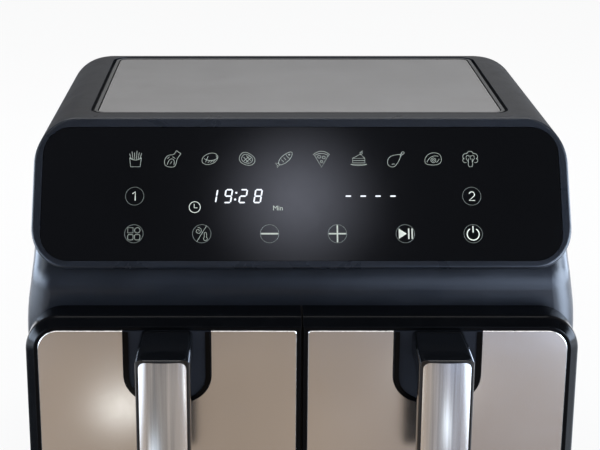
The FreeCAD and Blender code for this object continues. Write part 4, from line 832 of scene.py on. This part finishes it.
zone_numbers = ([run((-1.6, 1.7), (0.4, 3.1), (0.4, -3.2))],
                [arc(0.1, 1.2, 1.9, 165, -40), run((1.55, 0), (-2, -3.1), (2.2, -3.1))])
for i, strokes in enumerate(zone_numbers):
    x = row_place(i, len(zone_numbers))
    mark(f"zone_ring_{i + 1}", x, MIDDLE_ROW, ring_line, [ring(0, 0, KEY_RING)])
    mark(f"zone_number_{i + 1}", x, MIDDLE_ROW, key_light, strokes, width=ZONE_LINE)
print("zone numbers:", len(zone_numbers))

# %% Signs of the lower keys
SIGN_WIDTH = 12.6
LESS_THICK = 1.1
MORE_THICK = 1.0

soft_square = ((-1.9, -1.2), (-1.9, 1.2), (-1.2, 1.9), (1.2, 1.9),
               (1.9, 1.2), (1.9, -1.2), (1.2, -1.9), (-1.2, -1.9))
menu = [loop(*[(x + dx, y + dy) for dx, dy in soft_square]) for x, y in ((-2.4, -2.5), (2.4, -2.5))]
menu += [loop((-4.3, 0.6), (-0.6, 0.6), (-0.6, 4.3), (-4.3, 4.3)), ring(2.4, 2.4, 1.9)]
time_or_heat = [run((-3.4, -5.7), (3.4, 5.7)), arc(-2.4, 2, 0.5, -40, 460, 2),
                arc(2.6, -3.6, 1.3, -235, 55), run((1.8, -2.6), (1.8, 0.2)),
                run((3.4, -2.6), (3.4, 0.2)), arc(2.6, 0.2, 0.8, 0, 180)]
less = [bar(0, 0, SIGN_WIDTH, LESS_THICK)]
more = [bar(0, 0, SIGN_WIDTH, MORE_THICK, upright) for upright in (False, True)]
start_pause = [loop((-4.6, -3.7), (1, 0), (-4.6, 3.7)),
               loop((1.9, -3.7), (2.9, -3.7), (2.9, 3.7), (1.9, 3.7)),
               loop((4.3, -3.7), (5.3, -3.7), (5.3, 3.7), (4.3, 3.7))]
power = [arc(0, -0.3, 4.2, 122, 418), run((0, 0.8), (0, 5.4))]
print("strokes:", [len(sign) for sign in (menu, time_or_heat, less, more, start_pause, power)])

# %% Lower keys
LOWER_ROW = 19.1
POWER_LINE = 0.78
BAR_FADE = 8.2
START_FADE = 7.5

signs = {
    "key_menu": (printed_line, {"lines": menu}),
    "key_time_or_heat": (printed_line, {"lines": time_or_heat}),
    "key_less": (key_light, {"fills": less, "fade": BAR_FADE}),
    "key_more": (key_light, {"fills": more, "fade": BAR_FADE}),
    "key_start_pause": (key_light, {"fills": start_pause, "fade": START_FADE}),
    "key_power": (key_light, {"lines": power, "width": POWER_LINE}),
}
for i, (name, (finish, drawing)) in enumerate(signs.items()):
    x = row_place(i, len(signs))
    mark(name, x, LOWER_ROW, finish, **drawing)
    mark(name + "_ring", x, LOWER_ROW, ring_line, [ring(0, 0, KEY_RING)])
print("keys:", ", ".join(signs))

# %% [markdown]
# ## The lit display
# The left zone shows a time in slanted seven-bar figures, the right zone four dashes, since it is off. Every
# figure is chosen from the same seven bars, so one function draws them all and only the list of lit bars
# changes.

# %% Figures and dashes
BAR_ACROSS = 4.5
BAR_UP = 4.6
BAR_THICK = 1.05
BAR_GAP = 0.25
SLANT = 0.16
FIGURE_PITCH = 10.45
FIGURES_ASIDE = 47.4
COLON_UP = 2.4
COLON_RADIUS = 0.75
LIT_BARS = {"1": "bc", "9": "abcdfg", "2": "abged", "8": "abcdefg", "-": "g"}
BAR_PLACES = {"a": (0, 1, False), "g": (0, 0, False), "d": (0, -1, False), "f": (-1, 0.5, True),
              "b": (1, 0.5, True), "e": (-1, -0.5, True), "c": (1, -0.5, True)}


def figure_bars(figure, x):
    """The lit bars of one slanted figure."""
    bars = []
    for letter in LIT_BARS[figure]:
        across, up, upright = BAR_PLACES[letter]
        length = (BAR_UP if upright else BAR_ACROSS) - BAR_GAP
        kind, closed, points = bar(across * BAR_ACROSS / 2, up * BAR_UP, length, BAR_THICK, upright)
        bars.append((kind, closed, [(x + u + v * SLANT, v) for u, v in points]))
    return bars


def figures(text):
    """All bars of a row of figures, and the dots of a colon in its middle."""
    row = text.replace(":", "")
    strokes = []
    for i, figure in enumerate(row):
        strokes += figure_bars(figure, (i - (len(row) - 1) / 2) * FIGURE_PITCH)
    if ":" in text:
        strokes += [ring(up * SLANT, up, COLON_RADIUS) for up in (-COLON_UP, COLON_UP)]
    return strokes


mark("figures_left", -FIGURES_ASIDE, MIDDLE_ROW, digit_light, fills=figures("19:28"))
mark("figures_right", FIGURES_ASIDE, MIDDLE_ROW, digit_light, fills=figures("----"))
print("display: 19:28 and four dashes")

# %% Clock and unit
CLOCK_PLACE = (-76.1, 38.0)
CLOCK_LINE = 0.42
UNIT_PLACE = (-17.8, 37.2)
UNIT_HEIGHT = 3.4
CAPITAL_SHARE = 0.69

clock = [ring(0, 0, 3.9), run((-0.4, 2.3), (-0.4, -0.5), (1.9, -0.5))]
mark("clock_sign", *CLOCK_PLACE, key_light, clock, width=CLOCK_LINE)
pick()
bpy.ops.object.text_add()
unit = bpy.context.object
unit.name = "unit_minutes"
unit.data.body = "Min"
unit.data.align_x, unit.data.align_y = "CENTER", "CENTER"
unit.data.size = UNIT_HEIGHT / CAPITAL_SHARE
unit.data.extrude = FILL_THICK / 2
bpy.ops.object.convert(target="MESH")
lay_on_glass(bpy.context.object, *UNIT_PLACE, printed_line)
print("clock and unit beside the figures")

# %% [markdown]
# ## Strips with rolled edges
# The steel strip on the front of a grip is rolled back along both long edges, so that they catch the light.
# Bump would leave the edges flat in the mesh, so a copy of the strip's own mesh is cut into narrow bands
# beside each edge, and the front of each band is let back further than the one before.

# %% Rolled strips
SIDES = ("left", "right")
GRIP_BOW = 75.0
ROLL_WIDTH = 6.4 * MM
ROLL_DEPTH = 0.9 * MM
ROLL_BANDS = 6
HALF_STRIP = 0.6 * MM
WELD = 0.001 * MM
SMOOTH_ANGLE = math.radians(35)


def rolled_strip(side):
    """A copy of a grip's steel strip whose long edges fall back."""
    inlay = side + "_handle_inlay"
    strip = bpy.data.objects.new(side + "_rolled_strip", frame["nodes"][inlay].data.copy())
    bpy.context.collection.objects.link(strip)
    pick(strip)
    bpy.ops.mesh.customdata_custom_splitnormals_clear()
    low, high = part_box(inlay)
    middle = (low.x + high.x) / 2
    flat_half = (high.x - low.x) / 2 - ROLL_WIDTH
    bpy.ops.object.mode_set(mode="EDIT")
    bpy.ops.mesh.select_all(action="SELECT")
    bpy.ops.mesh.remove_doubles(threshold=WELD)
    for band in range(ROLL_BANDS):
        for way in (-1, 1):
            cut = middle + way * (flat_half + ROLL_WIDTH * band / ROLL_BANDS)
            bpy.ops.mesh.select_all(action="SELECT")
            bpy.ops.mesh.bisect(plane_co=(cut, 0, 0), plane_no=(1, 0, 0))
    bpy.ops.object.mode_set(mode="OBJECT")
    for vertex in strip.data.vertices:
        away = abs(vertex.co.x - middle)
        rolled = max(0.0, away - flat_half) / ROLL_WIDTH
        behind = vertex.co.y - low.y - away * away / (2 * GRIP_BOW * MM)
        if behind < HALF_STRIP:
            vertex.co.y += ROLL_DEPTH * rolled * rolled
    bpy.ops.object.shade_smooth_by_angle(angle=SMOOTH_ANGLE)
    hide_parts(inlay)
    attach(strip, side + "_drawer")
    return strip


for side in SIDES:
    strip = rolled_strip(side)
    print(strip.name, len(strip.data.polygons), "faces")

# %% [markdown]
# ## Caps on the grips
# The top of each grip carries a black inset that follows the grip's bowed front and is arched at the back,
# where the arm begins. It is a thin sheet cut to that outline and laid on the handle, in the grip's own black
# without its coat, so that it mirrors less.

# %% Grip caps
CAP_HALF_WIDTH = 15.6
CAP_SETBACK = 1.9
CAP_SHOULDER = 7.0
CAP_RISE = 9.5
FRONT_STEPS = 12
ARCH_STEPS = 20

cap_finish = finishes["handle_gloss"].copy()
cap_finish.name = "grip_cap_finish"
cap_finish.node_tree.nodes[SHADER].inputs["Coat Weight"].default_value = 0.0
front_places = [CAP_HALF_WIDTH * (2 * i / FRONT_STEPS - 1) for i in range(FRONT_STEPS + 1)]
front_points = [(x, CAP_SETBACK + x * x / (2 * GRIP_BOW)) for x in front_places]
arch_angles = [math.radians(180 * i / ARCH_STEPS) for i in range(ARCH_STEPS + 1)]
arch_points = [(CAP_HALF_WIDTH * math.cos(a), CAP_SHOULDER + CAP_RISE * math.sin(a)) for a in arch_angles]
for side in SIDES:
    low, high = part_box(side + "_handle")
    cap = draw([loop(*front_points, *arch_points)], side + "_grip_cap", True)
    cap.matrix_world = Matrix.Translation(((low.x + high.x) / 2, low.y, high.z)) @ Matrix.Scale(MM, 4)
    bpy.ops.object.transform_apply()
    cap.data.materials.append(cap_finish)
    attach(cap, side + "_drawer")
print("grip caps on both handles")

# %% [markdown]
# ## The studio
# A pale floor runs out to the horizon. Its white comes from its own colour as the camera sees it, not from
# more light, so the black plastic keeps its depth and the floor still keeps the shadow.

# %% Floor and surroundings
FLOOR_SIZE = 30
WHITE = (1, 1, 1)
WHITE_SHARE = 0.9


def seen_directly(tree):
    """A mask for the rays of the camera, of gloss and through glass."""
    ray = put(tree, "LightPath").outputs
    shown = maths(tree, "ADD", ray["Is Camera Ray"], ray["Is Glossy Ray"])
    return maths(tree, "MINIMUM", maths(tree, "ADD", shown, ray["Is Transmission Ray"]), 1.0)


def blend_shaders(tree, mask, first, second, end):
    """Ends a tree with a blend of two shaders."""
    blend = put(tree, "MixShader", {0: mask, 1: first.outputs[0], 2: second.outputs[0]})
    tree.links.new(blend.outputs["Shader"], tree.nodes[end].inputs["Surface"])


pick()
bpy.ops.mesh.primitive_plane_add(size=FLOOR_SIZE)
floor = bpy.context.object
floor.name = "studio_floor"
pale = new_finish("studio_floor_finish", roughness=0.9)
tree = pale.node_tree
drift = mix(tree, noise(tree, object_place(tree), 3.0), (0.82, 0.82, 0.82), (0.86, 0.86, 0.86))
tree.links.new(drift, tree.nodes[SHADER].inputs["Base Color"])
white = put(tree, "Emission", {"Color": WHITE, "Strength": 1.0})
share = maths(tree, "MULTIPLY", seen_directly(tree), WHITE_SHARE)
blend_shaders(tree, share, tree.nodes[SHADER], white, "Material Output")
floor.data.materials.append(pale)
print("floor", floor.dimensions.x, "m")

# %% World
world = bpy.context.scene.world or bpy.data.worlds.new("studio")
bpy.context.scene.world = world
world.use_nodes = True
tree = world.node_tree
fill = tree.nodes["Background"]
feed(tree, fill.inputs["Color"], (0.50, 0.51, 0.53))
feed(tree, fill.inputs["Strength"], 1.0)
backdrop = put(tree, "Background", {"Color": WHITE, "Strength": 1.0})
blend_shaders(tree, seen_directly(tree), fill, backdrop, "World Output")
print("world: white backdrop, grey fill")

# %% [markdown]
# ## What the gloss reflects
# Black gloss and steel look like what they mirror. In the photograph the leaning glass mirrors a dark room
# with one soft light high in the middle, the upright drawers mirror a table that is beige on the left and
# grey on the right, the rounded ends mirror pale floor at both sides and a bright lamp on the right, and the
# top mirrors a grey wall behind. A folded drape that only reflections can see stands for all of it: floor,
# front, ceiling, back and two sides, as cards joined into one.

# %% Drape cards
DRAPE_WIDTH = 3.4
DRAPE_BACK = 1.2
DRAPE_FRONT = -1.7
DRAPE_TOP = 2.4
DRAPE_FLOOR = 2 * MM

deep = DRAPE_BACK - DRAPE_FRONT
centre = (DRAPE_BACK + DRAPE_FRONT) / 2
flat, upright, sideways = (0, 0, 0), (math.pi / 2, 0, 0), (0, math.pi / 2, 0)
cards = [((0, centre, height), flat, DRAPE_WIDTH, deep) for height in (DRAPE_FLOOR, DRAPE_TOP)]
cards += [((0, end, DRAPE_TOP / 2), upright, DRAPE_WIDTH, DRAPE_TOP) for end in (DRAPE_FRONT, DRAPE_BACK)]
cards += [((way * DRAPE_WIDTH / 2, centre, DRAPE_TOP / 2), sideways, DRAPE_TOP, deep) for way in (-1, 1)]
made = []
for place, turn, width, length in cards:
    pick()
    bpy.ops.mesh.primitive_plane_add(size=1, location=place, rotation=turn)
    bpy.context.object.scale = (width, length, 1)
    bpy.ops.object.transform_apply()
    made.append(bpy.context.object)
pick(*made)
bpy.ops.object.join()
drape = bpy.context.object
drape.name = "reflection_drape"
for ray in ("camera", "diffuse", "shadow", "transmission"):
    setattr(drape, "visible_" + ray, False)
print("drape", [round(v, 2) for v in drape.dimensions])

# %% [markdown]
# ## Colours of the drape
# The drape shines in plain colours, where 1 is white and a lamp is far more. Each step lays one more colour
# over the last, between two places or in a soft round spot.

# %% Measures on the drape
shade = new_finish("reflection_drape_finish")
tree = shade.node_tree
tree.nodes.remove(tree.nodes[SHADER])
place = object_place(tree)
right, back, up = parts(tree, place)
level = put(tree, "VectorMath", {0: place, 1: (1, 1, 0)}, operation="MULTIPLY").outputs["Vector"]
reach = put(tree, "VectorMath", {0: level}, operation="LENGTH").outputs["Value"]
from_middle = maths(tree, "ABSOLUTE", right, 0.0)
aside = maths(tree, "DIVIDE", from_middle, reach)
print("measures: right, back, up, from_middle, aside")

# %% Masks on the drape
SPOT_FALL = 1.5


def rise(measure, start, stop):
    """A mask that goes from 0 to 1 while the measure goes from start to stop."""
    return spread(tree, measure, 0, 1, start, stop)


def fall(measure, start, stop):
    """A mask that goes from 1 to 0 while the measure goes from start to stop."""
    return spread(tree, measure, 1, 0, start, stop)


def between(measure, start, stop, low, high):
    """A colour that turns from low to high while the measure goes from start to stop."""
    return mix(tree, rise(measure, start, stop), low, high)


def soft_spot(middle, stretch, radius):
    """A mask that fades from 1 at a point of the drape to 0 at a radius."""
    drawn = put(tree, "VectorMath", {0: place, 1: stretch}, operation="MULTIPLY").outputs["Vector"]
    target = [part * factor for part, factor in zip(middle, stretch)]
    away = put(tree, "VectorMath", {0: drawn, 1: target}, operation="DISTANCE").outputs["Value"]
    return maths(tree, "POWER", fall(away, 0.0, radius), SPOT_FALL)


print("masks: rise, fall, between, soft_spot")

# %% Table, floor and sides
WHITE_CLOTH = (3.2, 3.25, 3.2)
CLOTHS = (((-0.148, -0.375, 0), (1.3, 0.9, 1), 0.052), ((0.135, -0.44, 0), (1.3, 0.7, 1), 0.045))
WINDOW_GLARE = (5.0, 6.2, 8.2)
SIDE_GLARE = (8.0, 9.6, 12.0)

shadows = noise(tree, place, 6.0, 1.0)
beige = mix(tree, shadows, (0.35, 0.28, 0.22), (0.66, 0.55, 0.455))
grey = mix(tree, shadows, (0.40, 0.355, 0.34), (0.62, 0.56, 0.54))
table = between(right, 0.02, 0.16, beige, grey)
for cloth in CLOTHS:
    table = mix(tree, soft_spot(*cloth), table, WHITE_CLOTH)
patched = between(from_middle, 0.27, 0.33, table, (1.5, 1.55, 1.65))
half_lit = between(right, 0.08, 0.42, (0.04, 0.05, 0.075), (1.6, 1.95, 2.7))
right_lit = between(right, 0.46, 0.9, half_lit, WINDOW_GLARE)
window = mix(tree, fall(right, -1.3, -0.75), right_lit, WINDOW_GLARE)
beyond = mix(tree, fall(back, -0.68, -0.56), patched, window)
left_near = between(back, -0.25, -0.1, (1.2, 1.3, 1.45), (0.12, 0.135, 0.16))
near = between(right, -0.2, 0.2, left_near, (1.0, 1.1, 1.25))
far_side = between(from_middle, 0.55, 0.8, near, (2.5, 2.8, 3.2))
beside = maths(tree, "MULTIPLY", rise(aside, 0.6, 0.95), fall(back, 0.05, 0.5))
ground = mix(tree, beside, beyond, far_side)
low_part = between(from_middle, 1.6, 1.68, ground, SIDE_GLARE)
print("table, floor and sides coloured")

# %% Room, ceiling, lamp and wall
GLOW_PLACE = (0.06, DRAPE_FRONT, 1.72)
GLOW_STRETCH = (1, 1, 0.76)
GLOW_RADIUS = 0.21
RIGHT_LAMP = (10.2, 12.2, 15.2)
STRIP_Y = -0.95
STRIP_HALF = 0.1

glow = soft_spot(GLOW_PLACE, GLOW_STRETCH, GLOW_RADIUS)
dark_room = mix(tree, glow, (0.055, 0.058, 0.066), (3.7, 3.85, 4.6))
dim = between(back, 0.45, 0.9, (0.03, 0.032, 0.038), (0.36, 0.37, 0.39))
strip = put(tree, "Math", {0: back, 1: STRIP_Y, 2: STRIP_HALF}, operation="COMPARE").outputs["Value"]
ceiling = mix(tree, strip, dim, (6.0, 6.1, 6.3))
overhead = between(up, DRAPE_TOP - 0.05, DRAPE_TOP, dark_room, ceiling)
around = between(up, 0.35, 0.65, low_part, overhead)
bearing = maths(tree, "MULTIPLY", rise(aside, 0.48, 0.68), rise(right, 0.44, 0.62))
extent = maths(tree, "MULTIPLY", fall(back, -0.35, 0.0), fall(up, 0.9, 1.3))
with_lamp = mix(tree, maths(tree, "MULTIPLY", bearing, extent), around, RIGHT_LAMP)
wall = between(right, -0.7, 0.3, (0.15, 0.147, 0.143), (0.26, 0.26, 0.262))
whole = between(back, DRAPE_BACK - 0.1, DRAPE_BACK, with_lamp, wall)
shine = put(tree, "Emission", {"Color": whole, "Strength": 1.0})
tree.links.new(shine.outputs["Emission"], tree.nodes["Material Output"].inputs["Surface"])
drape.data.materials.append(shade)
print("drape finish:", shade.name)

# %% [markdown]
# ## Lamps
# One large soft light hangs above and behind, and a smaller cool one stands at each side. They are weak, so
# that colours look about as they are written.

# %% Lamps
COOL = (0.80, 0.90, 1.0)


def soft_lamp(name, place, aim, size, power, colour=WHITE):
    """A rectangular soft light that faces a point."""
    pick()
    turn = (Vector(aim) - Vector(place)).to_track_quat("-Z", "Y").to_euler()
    bpy.ops.object.light_add(type="AREA", location=place, rotation=turn)
    lamp = bpy.context.object
    lamp.name = name
    lamp.data.shape = "RECTANGLE"
    lamp.data.size, lamp.data.size_y = size
    lamp.data.energy = power
    lamp.data.color = colour


soft_lamp("overhead_light", (0.0, 0.9, 1.5), aim=(0, 0.1, 0.2), size=(1.5, 0.9), power=13.0)
for side, x in zip(SIDES, (-1.3, 1.3)):
    soft_lamp(side + "_light", (x, -0.5, 0.7), aim=(0, 0, 0.15), size=(0.5, 1.0), power=5.0, colour=COOL)
